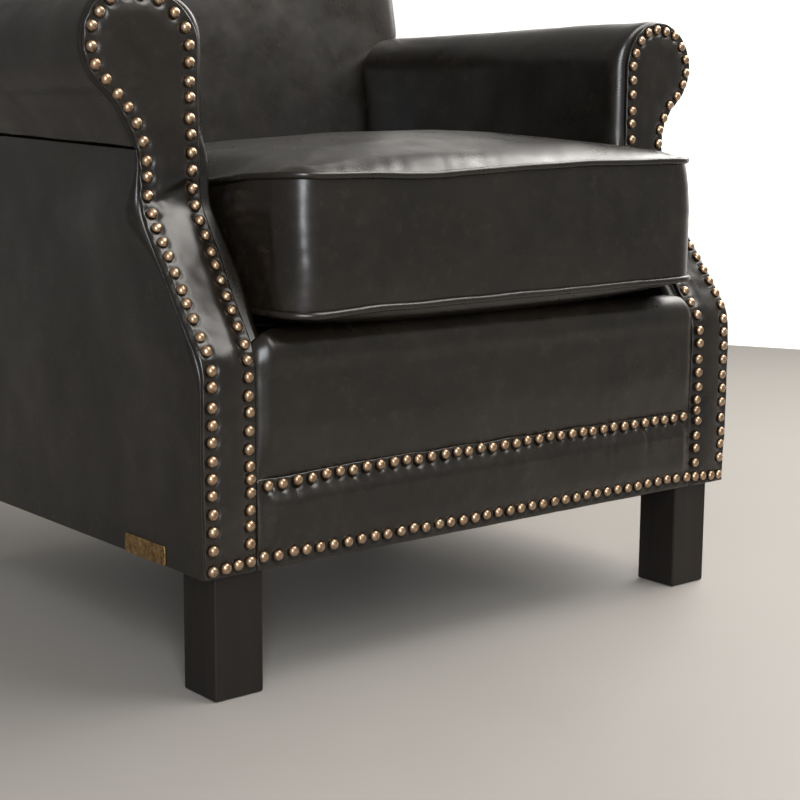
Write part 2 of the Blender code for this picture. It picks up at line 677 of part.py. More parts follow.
def make_plate(brass):
    """A small bare brass plate pinned to the foot of the left outside arm."""
    low = LEG_HEIGHT + PLATE_LIFT
    high = low + PLATE_HEIGHT
    outer = HALF_WIDTH + GAP + PLATE_THICKNESS
    plate = box((-outer, PLATE_FRONT, low), (-HALF_WIDTH - GAP, PLATE_FRONT + PLATE_LENGTH, high))
    add_part("brass_plate", plate, brass)


def centre_on_floor():
    """Moves the chair so that the middle of its box, seen from above, stands at the origin."""
    bpy.context.view_layer.update()
    graph = bpy.context.evaluated_depsgraph_get()
    corners = []
    for part in parts.objects:
        if part.type == "MESH":
            solid = part.evaluated_get(graph)
            corners += [solid.matrix_world @ Vector(corner) for corner in solid.bound_box]
    chair.location.y = -(min(c.y for c in corners) + max(c.y for c in corners)) / 2
    bpy.context.view_layer.update()
    print("front plane at y", chair.location.y)


def main():
    global parts, cutters, chair
    clear_scene()
    parts = new_collection("club_chair")
    cutters = new_collection("cutters")
    chair = bpy.data.objects.new("chair_origin", None)
    parts.objects.link(chair)
    lift = bpy.data.objects.new("cushion_lift_axis", None)
    lift.location = (0.0, (cushion_back() + CUSHION_FRONT) / 2, CUSHION_LOWER_EDGE)
    lift.parent = chair
    parts.objects.link(lift)

    leather = new_material("black_leather", (0.020, 0.018, 0.016), 0.38)
    dark_wood = new_material("black_stained_wood", (0.012, 0.009, 0.008), 0.45)
    frame_wood = new_material("frame_hardwood", (0.42, 0.28, 0.16), 0.7)
    cloth = new_material("black_cloth", (0.015, 0.015, 0.015), 0.95)
    spring_steel = new_material("spring_steel", (0.35, 0.35, 0.36), 0.35, 1.0)
    brass = new_material("aged_brass", (0.42, 0.28, 0.12), 0.4, 1.0)

    make_legs(dark_wood, spring_steel)
    make_seat_frame(frame_wood)
    make_springs(spring_steel)
    make_deck(cloth)
    for side, word in ((-1, "left"), (1, "right")):
        pocket, tunnel = make_arm_frame(side, word, frame_wood)
        make_arm_covers(side, word, pocket, tunnel, leather)
    make_front(leather)
    make_back_frame(frame_wood, cloth)
    make_back_covers(leather)
    make_cushion(leather, lift)
    make_welts(leather, lift)
    make_plate(brass)
    centre_on_floor()


main()
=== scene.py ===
import math

import bmesh
import bpy
import numpy as np
from mathutils import Matrix, Vector, noise


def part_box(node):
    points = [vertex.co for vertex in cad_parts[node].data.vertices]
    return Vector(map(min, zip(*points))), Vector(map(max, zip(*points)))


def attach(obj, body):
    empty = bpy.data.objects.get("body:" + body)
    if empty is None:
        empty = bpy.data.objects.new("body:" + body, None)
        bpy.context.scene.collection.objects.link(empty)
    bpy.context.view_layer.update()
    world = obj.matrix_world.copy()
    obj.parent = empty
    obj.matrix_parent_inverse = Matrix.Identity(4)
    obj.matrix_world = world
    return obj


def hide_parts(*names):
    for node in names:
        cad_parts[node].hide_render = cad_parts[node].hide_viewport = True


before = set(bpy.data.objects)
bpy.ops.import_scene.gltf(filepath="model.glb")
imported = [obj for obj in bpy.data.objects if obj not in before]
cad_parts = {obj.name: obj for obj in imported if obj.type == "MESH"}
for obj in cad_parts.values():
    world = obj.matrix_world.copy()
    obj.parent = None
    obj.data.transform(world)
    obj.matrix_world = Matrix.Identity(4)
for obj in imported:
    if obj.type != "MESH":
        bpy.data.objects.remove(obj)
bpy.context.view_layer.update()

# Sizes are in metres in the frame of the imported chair.
# X runs to the right as seen from the front, Y to the back and Z up.
# A depth is measured inwards from the leather's plain surface.
# Unevenness is given as waves, each with its length, its height and, where it has one, its shift.
# The heights of NAIL_WAVE and PIPING_WAVE are shares of the nail's and the piping's size.

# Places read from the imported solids
FACING_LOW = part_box("arm_facing_right")[0]
PANEL_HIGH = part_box("outside_arm_right")[1]
ARM_LOW, ARM_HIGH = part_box("arm_pad_right")
REAR_LOW, REAR_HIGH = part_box("outside_back")
CUSHION_LOW, CUSHION_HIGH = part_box("seat_cushion")
DECK_LOW, DECK_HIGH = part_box("seat_deck")
BORDER_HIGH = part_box("front_border")[1]
PLATE_LOW, PLATE_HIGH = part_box("brass_plate")
FRONT = FACING_LOW.y
UNDER = FACING_LOW.z
HALF = PANEL_HIGH.x
INNER = ARM_LOW.x
BACK_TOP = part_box("inside_back")[1].z
BAND_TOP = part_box("front_band")[1].z

# Least gap between neighbouring pieces
GAP = 0.0006

# Stepped arm fronts
LOWER_BEND = UNDER + 0.1965
SETBACK = 0.104
UPPER_BEND = LOWER_BEND + 0.1410
LOWER_RADIUS = 0.050
UPPER_RADIUS = 0.045
STEP = 0.0024

# Scroll of the arm, with the seam under it that rises towards the back
ROLL_RADIUS = 0.054
NECK_RADIUS = 0.070
ROLL_X = ARM_HIGH.x - ROLL_RADIUS
ROLL_Z = ARM_HIGH.z - ROLL_RADIUS
NECK_X = HALF + NECK_RADIUS
NECK_Z = ROLL_Z - math.sqrt((NECK_RADIUS + ROLL_RADIUS) ** 2 - (NECK_X - ROLL_X) ** 2)
NECK_ANGLE = math.atan2(NECK_Z - ROLL_Z, NECK_X - ROLL_X)
SEAM_Z = PANEL_HIGH.z - 0.0075
SEAM_SLOPE = 0.045
SEAM_RISE = 0.012
SEAM_TURN = 0.0015
SEAM_GAP = 0.0004
SEAM_TUCK = (0.003, 0.016)
ARM_LEAF = 0.018
ARM_END = 0.010
ARM_END_INSET = 0.014
ARM_STEP = 0.0045
ARM_HIDDEN_STEP = 0.012
ARM_WAVE = (0.085, 0.0014)
ARM_FINE_WAVE = (0.030, 0.0003, 5.0)
HEAD_LEAN = (0.0085, -0.0040)
FOOT_SPREAD = (0.0, 0.0034)
WRAP_DEPTH = 0.0045
WRAP_DEPTH_SLOPE = 0.0026
WRAP_TUCK = 0.0040
WRAP_TUCK_INSETS = (0.024, 0.009)
WRAP_HIDDEN = WRAP_DEPTH + 0.002
WRAP_ROUND = 0.0110
WRAP_ROUND_SLOPE = 0.0045
WRAP_ROUND_UPPER = 0.0190
WRAP_ROUND_ROLL = 0.006

# Outside arms
SIDE_SETBACK = 0.0034
SIDE_TURN = 0.0012
SIDE_TURN_UPPER = 0.0075
SIDE_TURN_LOWER = 0.0030
SIDE_TURN_SHARE = 1.5
SIDE_CROWN = 0.0020
SIDE_EDGE = 0.0012
SIDE_BACK = 0.008
SIDE_WAVE = (0.14, 0.0022)
SIDE_FINE_WAVE = (0.045, 0.0007)

# Arm facings
FACING_INNER_LOWER = 0.3010
FACING_INNER_UPPER = 0.2924
FACING_INNER_BOW = 0.0020
FACING_OUTER = HALF + 0.0008
FACING_BOW = 0.0018
FACING_SLOPE_BOW = 0.0034
FACING_INSET = 0.002
FACING_EDGE = 0.0026
FACING_SINK = 0.001
FACING_BACK = 0.009
FACING_CROWN = 0.0024
FACING_INNER_SINK = 0.0020
FACING_FOOT = 0.006
FACING_COLUMNS = 64
FACING_WAVES = ((0.045, 0.0009), (0.016, 0.0005, 7.0))
FOLD_HEIGHT = 0.0008
FOLD_WANDER = (0.03, 0.004, 3.0)
CRUMPLE = (0.0075, 0.0013, 5.0)
HEAD_RADIUS = ROLL_RADIUS - FACING_INSET
HEAD_INNER = ROLL_X - FACING_INNER_UPPER

# Nails
NAIL_RADIUS = 0.0055
NAIL_HEIGHT = 0.0044
NAIL_SKIRT = 0.0012
NAIL_SKIRT_SHARE = 0.82
NAIL_SIDES = 16
NAIL_PITCH = 0.0166
NAIL_CROWDING = 0.0058
NAIL_STRAY = 0.0009
NAIL_TIP = 0.10
NAIL_LEAN = 0.05
NAIL_SCATTER = 0.015
NAIL_WAVE = (0.003, 0.02)
NAIL_OUTER_INSET = 0.0070
NAIL_OUTER_EXTRA = 0.0028
NAIL_OUTER_FOOT = 0.0016
NAIL_INNER_INSET = 0.0092
NAIL_FOOT = 0.0105
NAIL_FOOT_DROP = 0.0034
NAIL_PROUD = 0.0010
DIMPLE_DEPTH = 0.0014
DIMPLE_SLOPE_DEPTH = 0.0009
DIMPLE_FLOOR = 0.0056
DIMPLE_REACH = 0.0092

# Front band and border
BAND_REACH = 0.3018
BAND_SINK = 0.0015
BAND_CROWN = 0.0060
BAND_LEDGE = (0.0080, 0.0270)
BAND_LIFT = 0.0024
BAND_DROP = 0.0014
BAND_EDGE = 0.0030
BAND_FOLD = 0.0030
BAND_UPPER_EDGE = BAND_TOP + 0.0012
BAND_NAIL = UNDER + 0.0812
BAND_NAIL_STRAY = 0.0006
BAND_BACK = 0.012
BAND_UPPER_REACH = 0.2888
BAND_LOWER_REACH = 0.2955
BAND_FOOT_RISE = 0.0026
BAND_WAVES = ((0.060, 0.0012), (0.018, 0.0004, 5.0))
BAND_WANDER = (0.035, 0.0014)
PUCKER = 0.0026
PUCKER_WIDTH = 0.0044
PUCKER_DROP = 0.017
PUCKER_STRAY = 0.0016
PUCKER_SLANT = 0.25
PUCKER_DEPTH_SHARES = (0.25, 1.0)
PUCKER_DROP_SHARES = (0.5, 1.3)
BORDER_REACH = 0.3030
BORDER_GAP = 0.0015
BORDER_RECESS = 0.003
BORDER_ROUND = 0.024
BORDER_BULGE = 0.0060
BORDER_TUCK = 0.0035
BORDER_PUFF = 0.0075
BORDER_EDGE = 0.007
BORDER_BACK = 0.014
BORDER_FOOT = 0.010
BORDER_STEP = 0.0035
BORDER_WAVES = ((0.09, 0.0012), (0.025, 0.0005, 4.0))

# Back
BACK_RAKE = math.radians(9.0)
BACK_THICKNESS = 0.125
BACK_PANEL = 0.008
BACK_PAD = 0.055
BACK_BULGE = 0.010
BACK_CROWN = 0.004
BACK_CORNER = 0.065
BACK_ROUND = BACK_THICKNESS / 2
BACK_SHOULDER = BACK_TOP - BACK_ROUND
BACK_LAP = 0.018
BACK_UNDERLAP = 0.008
BACK_TUCK = 0.0045
BACK_SOFTENING = 8
BACK_WAVES = ((0.14, 0.0020), (0.04, 0.0002))
REAR_CROWN = 0.0035
REAR_EDGE = 0.005
REAR_WAVES = ((0.15, 0.0026, 8.0), (0.05, 0.0007))

# Cushion
CUSHION_MIDDLE = (CUSHION_LOW.y + CUSHION_HIGH.y) / 2
CUSHION_HALF = np.array([CUSHION_HIGH.x + 0.002, (CUSHION_HIGH.y - CUSHION_LOW.y) / 2])
CUSHION_LOWER = 0.3612
CUSHION_UPPER = 0.4900
CUSHION_CORNER = 0.036
CUSHION_ROLL = 0.0119
CUSHION_ROLL_REACH = 0.040
CUSHION_ROLL_GROWTH = 0.45
CUSHION_TROUGH = 0.0014
CUSHION_CROWN = 0.0240
CUSHION_DOME = 0.235
CUSHION_LEVEL = 0.003
CUSHION_SWELL = 0.040
CUSHION_DRAW = 0.004
CUSHION_BULGE = 0.0035
CUSHION_SPREAD = 0.0025
CUSHION_FLARE = 0.0060
CUSHION_TILT = 0.016
CUSHION_DROP = 0.020
CUSHION_SLOPE = 0.012
CUSHION_SAG = 0.0065
CUSHION_SPANS = 150
CUSHION_WAVES = ((0.15, 0.0018), (0.05, 0.0006, 4.0))
CUSHION_PULL = (0.017, 0.0007, 2.0)
PULL_SLANT = 0.8
BOXING_ROWS = 44
BOXING_HEIGHT = 0.13
BOXING_WAVE = (0.10, 0.0030, 6.0)
BOXING_UPRIGHT_WAVE = (0.022, 0.0009)
BOXING_LEVEL_WAVE = (0.008, 0.0004, 3.0)
PIPING = 0.0036
PIPING_OUT = 0.0020
PIPING_RISE = 0.0010
PIPING_FALL = 0.0004
PIPING_SIDES = 14
PIPING_WAVE = (0.012, 0.10)
PIPING_WANDER = (0.07, 0.0016, 9.0)

# Cloth and plate
DECK_HALF = INNER - 0.001
DECK_SHORT = 0.006
DECK_DIP = 0.0012
DECK_EDGE = 0.006
DECK_WAVE = (0.12, 0.0020)
LEG_GAP = 0.002
COVER_SAG = 0.006
COVER_THICKNESS = 0.0009
STRAP_DEPTH = 0.0015
STRAP_WAVE = 0.0004
STRAP_THICKNESS = 0.0016
PLATE_RISE = 0.0011
PLATE_EDGE = 0.0006
PLATE_HOLLOW = 0.0003
PLATE_BACK = 0.0040
PLATE_CORNER = 0.10
PLATE_SEAT = 0.006
PIN_INSET = 0.0042
PIN_RADIUS = 0.0014
PIN_HEIGHT = 0.0009

# Camera, fitted to the photograph
IMAGE = 800.0
FOCAL = 1611.4
SENSOR = 36.0
EYE = (-1.1217, -1.5589, 0.515)
YAW = math.radians(39.587)
PITCH = math.radians(9.18)
ROLL = math.radians(0.376)

# Floor, light of the room and of the bright wall behind to the right
FLOOR_RADIUS = 2.4
FLOOR_DROP = 0.0005
ROOM_LIGHT = (0.27, 0.36)
ROOM_WAY = (0.35, -0.90, 0.26)
ROOM_COLOUR = (1.0, 0.968, 0.922, 1.0)
WALL_LIGHT = 1.45
WALL_WAY = (0.90, 0.42, 0.11)
WALL_EDGE = (0.78, 0.97)

SIDES = ((-1, "left"), (1, "right"))


def smooth(low, high, value):
    """Eases from 0 at low to 1 at high."""
    share = np.clip((value - low) / (high - low), 0.0, 1.0)
    return share * share * (3.0 - 2.0 * share)


def blend(start, end, share):
    return start + (end - start) * share


def hump(value, centre, width):
    """A bell of height 1 about a centre."""
    return np.exp(-(((value - centre) / width) ** 2))


def eased(count):
    """Shares from 0 to 1, closer together at both ends."""
    return 0.5 - 0.5 * np.cos(np.pi * np.arange(count + 1) / count)


def eased_across(count):
    """Shares from -1 to 1, closer together at both ends."""
    return 2.0 * eased(count) - 1.0


def inside(value, low, high):
    """Distance in from the nearer of two ends."""
    return np.minimum(value - low, high - value)


def rounding(distance, radius):
    """How far a rounded edge has dropped, at a distance in from its rim."""
    short = radius - np.clip(distance, 0.0, radius)
    return radius - np.sqrt(radius**2 - short**2)


def waves(points, size, height, shift=0.0):
    """Gentle unevenness of a given size and height at each point."""
    flat = np.asarray(points).reshape(-1, 3) / size + shift
    found = np.array([noise.noise(Vector(place)) for place in flat])
    return height * found.reshape(np.asarray(points).shape[:-1])


def uneven(points, layers):
    return sum(waves(points, *layer) for layer in layers)


def unit(vector):
    return vector / np.linalg.norm(vector)


def run_along(points):
    """Distance along a line at each of its points."""
    return np.concatenate([[0.0], np.cumsum(np.linalg.norm(np.diff(points, axis=0), axis=1))])


def read_line(line, run, places):
    """Points of a line at places along it."""
    return np.stack([np.interp(places, run, column) for column in line.T], axis=1)


def resampled(points, step):
    """Points spaced evenly along a line of points."""
    points = np.asarray(points, float)
    run = run_along(points)
    return read_line(points, run, np.linspace(0.0, run[-1], max(2, round(run[-1] / step) + 1)))


def rounded_path(corners, radii, step):
    """A flat line through corners, with rounded bends, as evenly spaced points."""
    corners = [np.array(corner, float) for corner in corners]
    line = [corners[0]]
    for before, corner, after, radius in zip(corners, corners[1:], corners[2:], radii):
        back = unit(before - corner)
        ahead = unit(after - corner)
        reach = radius / math.tan(math.acos(float(back @ ahead)) / 2)
        for t in np.linspace(0.0, 1.0, 25):
            near = (1 - t) ** 2 * (corner + back * reach)
            far = t**2 * (corner + ahead * reach)
            line.append(near + 2 * t * (1 - t) * corner + far)
    return resampled(line + [corners[-1]], step)


def normals_of(line):
    """Unit normals of a flat line, to the left of its direction."""
    along = np.gradient(line, axis=0)
    along /= np.linalg.norm(along, axis=1, keepdims=True)
    return np.stack([-along[:, 1], along[:, 0]], axis=1)


def arc(centre, radius_x, radius_z, start, end, steps=40):
    turn = np.linspace(start, end, steps + 1)
    return np.stack([centre[0] + radius_x * np.cos(turn), centre[1] + radius_z * np.sin(turn)], axis=1)


def grid(x, y, z):
    return np.stack(np.broadcast_arrays(x, y, z), axis=-1).astype(float)


def numbered(points):
    """Vertex numbers for a grid of points."""
    return np.arange(points.shape[0] * points.shape[1]).reshape(points.shape[:2])


def rim_of(number):
    """Vertex numbers once round the rim of a grid."""
    return np.concatenate([number[0], number[1:, -1], number[-1, -2::-1], number[-2:0:-1, 0]])


def quads(number, closed=False):
    """Faces over a grid of vertex numbers, closed round its rows or not."""
    if closed:
        number = np.concatenate([number, number[:, :1]], axis=1)
    corners = (number[:-1, :-1], number[:-1, 1:], number[1:, 1:], number[1:, :-1])
    return np.stack(corners, axis=-1).reshape(-1, 4)


def add_object(name, data):
    made = bpy.data.objects.new(name, data)
    bpy.context.scene.collection.objects.link(made)
    return made


def add_piece(name, points, faces, material, body="chair"):
    """A mesh with smooth sides and flat ends that rides on a body of the chair."""
    mesh = bpy.data.meshes.new(name)
    mesh.from_pydata(np.asarray(points).reshape(-1, 3).tolist(), [], faces)
    form = bmesh.new()
    form.from_mesh(mesh)
    bmesh.ops.remove_doubles(form, verts=form.verts, dist=1e-6)
    bmesh.ops.recalc_face_normals(form, faces=form.faces)
    form.to_mesh(mesh)
    form.free()
    for face in mesh.polygons:
        face.use_smooth = len(face.vertices) <= 4
    mesh.materials.append(material)
    piece = add_object(name, mesh)
    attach(piece, body)
    return piece


def pad(name, front, back, material):
    """A closed form between two grids of points."""
    number = numbered(front)
    rim = rim_of(number)
    wall = quads(np.stack([rim, rim + number.size]), closed=True)
    faces = np.concatenate([quads(number), quads(number + number.size)[:, ::-1], wall])
    points = np.concatenate([front.reshape(-1, 3), back.reshape(-1, 3)])
    return add_piece(name, points, faces.tolist(), material)


def loft(name, rings):
    """A closed leather form through rings of points, with flat ends."""
    number = numbered(rings)
    faces = quads(number, closed=True).tolist()
    faces += [number[0].tolist(), number[-1].tolist()]
    return add_piece(name, rings, faces, LEATHER)


# Materials

def set_inputs(tree, made, inputs):
    """Links or sets inputs of a shader node."""
    for name, value in inputs.items():
        if isinstance(value, bpy.types.NodeSocket):
            tree.links.new(value, made.inputs[name])
        else:
            made.inputs[name].default_value = value


def add_node(tree, kind, inputs, **settings):
    made = tree.nodes.new(kind)
    for name, value in settings.items():
        setattr(made, name, value)
    set_inputs(tree, made, inputs)
    return made


def new_material(name):
    material = bpy.data.materials.new(name)
    material.use_nodes = True
    tree = material.node_tree
    place = tree.nodes.new("ShaderNodeTexCoord").outputs["Object"]
    return material, tree, tree.nodes["Principled BSDF"], place


def cloudy(tree, place, scale, detail=4.0, roughness=0.55):
    inputs = {"Vector": place, "Scale": scale, "Detail": detail, "Roughness": roughness}
    return add_node(tree, "ShaderNodeTexNoise", inputs).outputs["Fac"]


def stretched(tree, place, scale):
    return add_node(tree, "ShaderNodeMapping", {"Vector": place, "Scale": scale}).outputs["Vector"]


def ramp(tree, amount, stops):
    """A colour for each share of an amount."""
    made = add_node(tree, "ShaderNodeValToRGB", {"Fac": amount})
    colours = made.color_ramp.elements
    while len(colours) < len(stops):
        colours.new(0.5)
    for colour, (position, value) in zip(colours, stops):
        colour.position = position
        colour.color = (*value, 1.0)
    return made.outputs["Color"]


def spread(tree, amount, low, high, source=(0.3, 0.7)):
    inputs = {"Value": amount, "From Min": source[0], "From Max": source[1], "To Min": low, "To Max": high}
    return add_node(tree, "ShaderNodeMapRange", inputs).outputs["Result"]


def bump(tree, height, strength, distance, before=None):
    inputs = {"Height": height, "Strength": strength, "Distance": distance}
    if before is not None:
        inputs["Normal"] = before
    return add_node(tree, "ShaderNodeBump", inputs).outputs["Normal"]


def arithmetic(tree, first, second, operation):
    return add_node(tree, "ShaderNodeMath", {0: first, 1: second}, operation=operation).outputs[0]


def follow(tree, shader, amount, stops, roughness):
    """Lets a shader's colour and roughness follow one amount."""
    set_inputs(tree, shader, {
        "Base Color": ramp(tree, amount, stops),
        "Roughness": spread(tree, amount, *roughness),
    })


def make_leather():
    """Black leather, polished but uneven, with a fine pebble grain and brown showing through."""
    material, tree, shader, place = new_material("black_leather_polished")
    colour = ramp(tree, cloudy(tree, place, 9.0, 10.0, 0.70), [
        (0.30, (0.0038, 0.0029, 0.0020)),
        (0.52, (0.0072, 0.0054, 0.0036)),
        (0.72, (0.0136, 0.0100, 0.0066)),
    ])
    scuffs = spread(tree, cloudy(tree, place, 62.0, 10.0, 0.80), 0.0, 0.50, source=(0.52, 0.80))
    inputs = {"Fac": scuffs, "Color1": colour, "Color2": (0.048, 0.037, 0.026, 1.0)}
    worn = add_node(tree, "ShaderNodeMixRGB", inputs)
    rubbed = cloudy(tree, place, 23.0, 5.0, 0.6)
    inputs = {"Vector": place, "Scale": 780.0}
    cells = add_node(tree, "ShaderNodeTexVoronoi", inputs, feature="SMOOTH_F1")
    grain = bump(tree, cells.outputs["Distance"], 0.07, 0.0005)
    set_inputs(tree, shader, {
        "Base Color": worn.outputs["Color"],
        "Roughness": spread(tree, rubbed, 0.24, 0.37),
        "Normal": bump(tree, cloudy(tree, place, 130.0, 6.0, 0.7), 0.06, 0.0012, grain),
        "Specular IOR Level": 0.55,
    })
    return material


def make_bronze():
    """Nail heads of antique bronze, brown in the hollows and rubbed bright in patches."""
    material, tree, shader, place = new_material("antique_bronze")
    follow(tree, shader, cloudy(tree, place, 260.0, 5.0, 0.65), [
        (0.28, (0.125, 0.070, 0.040)),
        (0.48, (0.395, 0.262, 0.160)),
        (0.75, (0.600, 0.445, 0.295)),
    ], (0.46, 0.29))
    set_inputs(tree, shader, {
        "Normal": bump(tree, cloudy(tree, place, 420.0, 3.0), 0.10, 0.0004),
        "Metallic": 1.0,
        "Coat Weight": 0.7,
        "Coat Roughness": 0.14,
    })
    return material


def make_brass():
    """Aged sheet brass, gone brown in clouds and scratched along its length."""
    material, tree, shader, place = new_material("aged_brass_sheet")
    follow(tree, shader, cloudy(tree, place, 190.0, 8.0, 0.7), [
        (0.30, (0.090, 0.052, 0.021)),
        (0.50, (0.340, 0.212, 0.088)),
        (0.70, (0.640, 0.435, 0.205)),
    ], (0.52, 0.30))
    pits = bump(tree, cloudy(tree, place, 900.0, 4.0), 0.30, 0.0004)
    scratches = cloudy(tree, stretched(tree, place, (1.0, 0.06, 1.0)), 1500.0, 2.0)
    set_inputs(tree, shader, {"Normal": bump(tree, scratches, 0.12, 0.0003, pits), "Metallic": 1.0})
    return material


def make_wood(name, dark, light, roughness, scale, relief):
    """Wood with its grain along the axis that the scale stretches."""
    material, tree, shader, place = new_material(name)
    along = stretched(tree, place, scale)
    figure = cloudy(tree, along, 30.0, 8.0, 0.65)
    pores = cloudy(tree, along, 210.0, 4.0, 0.7)
    set_inputs(tree, shader, {
        "Base Color": ramp(tree, figure, [(0.32, dark), (0.70, light)]),
        "Roughness": spread(tree, pores, roughness + 0.10, roughness - 0.06),
        "Normal": bump(tree, pores, relief, 0.0006),
        "Specular IOR Level": 0.36,
    })
    return material


def make_cloth(name, dark, light, thread):
    """Plain woven cloth with threads of a given width."""
    material, tree, shader, place = new_material(name)
    weave = []
    for turn in ("X", "Y"):
        inputs = {"Vector": place, "Scale": 0.32 / thread, "Distortion": 0.6, "Detail": 1.0}
        weave.append(add_node(tree, "ShaderNodeTexWave", inputs, bands_direction=turn).outputs["Fac"])
    crossed = arithmetic(tree, *weave, "MULTIPLY")
    dusty = cloudy(tree, place, 14.0, 5.0)
    mixed = arithmetic(tree, crossed, dusty, "ADD")
    set_inputs(tree, shader, {
        "Base Color": ramp(tree, mixed, [(0.35, dark), (1.1 / 1.2, light)]),
        "Roughness": spread(tree, dusty, 0.82, 0.96),
        "Normal": bump(tree, crossed, 0.35, 0.0006),
        "Sheen Weight": 0.04,
    })
    return material


def make_steel():
    """Oiled spring steel with dark streaks."""
    material, tree, shader, place = new_material("oiled_spring_steel")
    streaks = cloudy(tree, stretched(tree, place, (1.0, 0.15, 1.0)), 240.0, 6.0)
    follow(tree, shader, streaks, [(0.3, (0.16, 0.155, 0.15)), (0.7, (0.42, 0.42, 0.43))], (0.48, 0.28))
    set_inputs(tree, shader, {"Metallic": 1.0})
    return material


def make_floor_paint():
    material, tree, shader, place = new_material("pale_floor")
    clouds = cloudy(tree, place, 1.4, 5.0)
    follow(tree, shader, clouds, [(0.3, (0.33, 0.31, 0.285)), (0.7, (0.37, 0.35, 0.325))], (0.55, 0.70))
    return material


LEATHER = make_leather()
BRONZE = make_bronze()
BRASS = make_brass()
LEG_WOOD = make_wood("black_stained_wood_satin", (0.0044, 0.0033, 0.0026), (0.0120, 0.0085, 0.0062),
                     0.50, (1.0, 1.0, 0.07), 0.16)
FRAME_WOOD = make_wood("frame_hardwood_sawn", (0.23, 0.135, 0.070), (0.46, 0.30, 0.17),
                       0.62, (1.0, 0.12, 1.0), 0.30)
CLOTH = make_cloth("black_lining_cloth", (0.0060, 0.0060, 0.0062), (0.024, 0.024, 0.025), 0.0011)
WEBBING = make_cloth("jute_webbing", (0.060, 0.042, 0.024), (0.28, 0.21, 0.125), 0.0022)
STEEL = make_steel()


# The stepped front that both arms share, as a line from the underside up

FRONT_LINE = rounded_path(
    [(0.0, UNDER), (0.0, LOWER_BEND), (SETBACK, UPPER_BEND), (SETBACK, ARM_HIGH.z + 0.02)],
    (LOWER_RADIUS, UPPER_RADIUS), STEP,
)
FRONT_OUT = normals_of(FRONT_LINE)
FRONT_RUN = run_along(FRONT_LINE)


def run_at(z):
    return np.interp(z, FRONT_LINE[:, 1], FRONT_RUN)


def read_front(run, line):
    """The two columns of the front's line, or of its normals, at distances up along it."""
    return [np.interp(run, FRONT_RUN, column) for column in line.T]


def on_front(run, lift):
    """Y and Z of points on the stepped front, a distance up along it and lifted out from it."""
    y, z = read_front(run, FRONT_LINE)
    out_y, out_z = read_front(run, FRONT_OUT)
    return FRONT + y + out_y * lift, z + out_z * lift


def front_y(z, depth):
    """Y of the stepped front at a height, a depth behind its plain surface."""
    line = FRONT_LINE - depth * FRONT_OUT
    return FRONT + np.interp(z, line[:, 1], line[:, 0])


def on_slope(z, lower, upper):
    """Eases in about the lower bend and out about the upper one."""
    return smooth(*lower, z - LOWER_BEND) * smooth(*upper, z - UPPER_BEND)


def back_y(depth, z):
    """Y at a height on the raked plane that lies a depth behind the face of the back."""
    rear = REAR_LOW.y + BACK_PANEL / math.cos(BACK_RAKE) + (z - REAR_LOW.z) * math.tan(BACK_RAKE)
    return rear - (BACK_THICKNESS - depth) / math.cos(BACK_RAKE)


def lean(x, z, side):
    """How far an arm's head leans out and its foot spreads."""
    number = int(side > 0)
    head = smooth(-0.02, 0.036, z - SEAM_Z) * smooth(INNER, ROLL_X, x)
    foot = smooth(UPPER_BEND, LOWER_BEND, z) * smooth(FACING_INNER_LOWER - 0.02, HALF, x)
    return HEAD_LEAN[number] * head + FOOT_SPREAD[number] * foot


# Arm facings and the nails round them

def bow(z):
    """How far an arm's front corner bows out, below and along the slope."""
    share = np.clip((z - UNDER) / (LOWER_BEND + 0.02 - UNDER), 0.0, 1.0)
    slope = on_slope(z, (-0.012, 0.030), (0.012, -0.030))
    return FACING_BOW * np.sin(math.pi * share) + FACING_SLOPE_BOW * slope


def facing_edges(z):
    """Inner and outer X of a facing at heights."""
    inner = blend(FACING_INNER_LOWER, FACING_INNER_UPPER, smooth(LOWER_BEND, UPPER_BEND, z))
    inner = inner - FACING_INNER_BOW * hump(z, LOWER_BEND + 0.022, 0.024)
    over = np.clip((z - ROLL_Z) / HEAD_RADIUS, -1.0, 1.0)
    half_chord = np.sqrt(1.0 - over**2)
    inner = np.where(z > ROLL_Z, ROLL_X - HEAD_INNER * half_chord, inner)
    meet = ROLL_Z + HEAD_RADIUS * math.sin(NECK_ANGLE)
    hollow = math.hypot(NECK_X - ROLL_X - HEAD_RADIUS * math.cos(NECK_ANGLE), meet - NECK_Z)
    neck = NECK_X - np.sqrt(np.maximum(hollow**2 - np.maximum(z - NECK_Z, 0.0) ** 2, 0.0))
    outer = np.where(z > meet, ROLL_X + HEAD_RADIUS * half_chord, neck)
    extra = (FACING_OUTER - NECK_X + hollow) * (1.0 - smooth(UPPER_BEND - 0.03, NECK_Z + 0.02, z))
    return inner, outer + extra + bow(z)


def facing_rows():
    """Heights of a facing's rows, closer together at its foot and its top."""
    foot = UNDER + FACING_FOOT * np.linspace(0.0, 1.0, 8)[:-1] ** 2
    middle = read_front(np.arange(FACING_FOOT, run_at(ROLL_Z), STEP), FRONT_LINE)[1]
    head = ROLL_Z + HEAD_RADIUS * np.sin(np.linspace(0.0, math.radians(89.5), 36))
    return np.concatenate([foot, middle, head])


def facing_margin(x, z):
    """Distance from points of a facing to its nearest long edge."""
    inner, outer = facing_edges(z)
    nudge = 0.0005
    slope = (facing_edges(z + nudge)[1] - facing_edges(z - nudge)[1]) / (2 * nudge)
    square = 1.0 / np.sqrt(1.0 + np.clip(slope, -3.0, 3.0) ** 2)
    side = np.minimum(x - inner, (outer - x) * square)
    reach = np.where(x < ROLL_X, HEAD_INNER, HEAD_RADIUS)
    ring = reach * (1.0 - np.hypot((x - ROLL_X) / reach, (z - ROLL_Z) / HEAD_RADIUS))
    return np.where(z > ROLL_Z, ring, side)


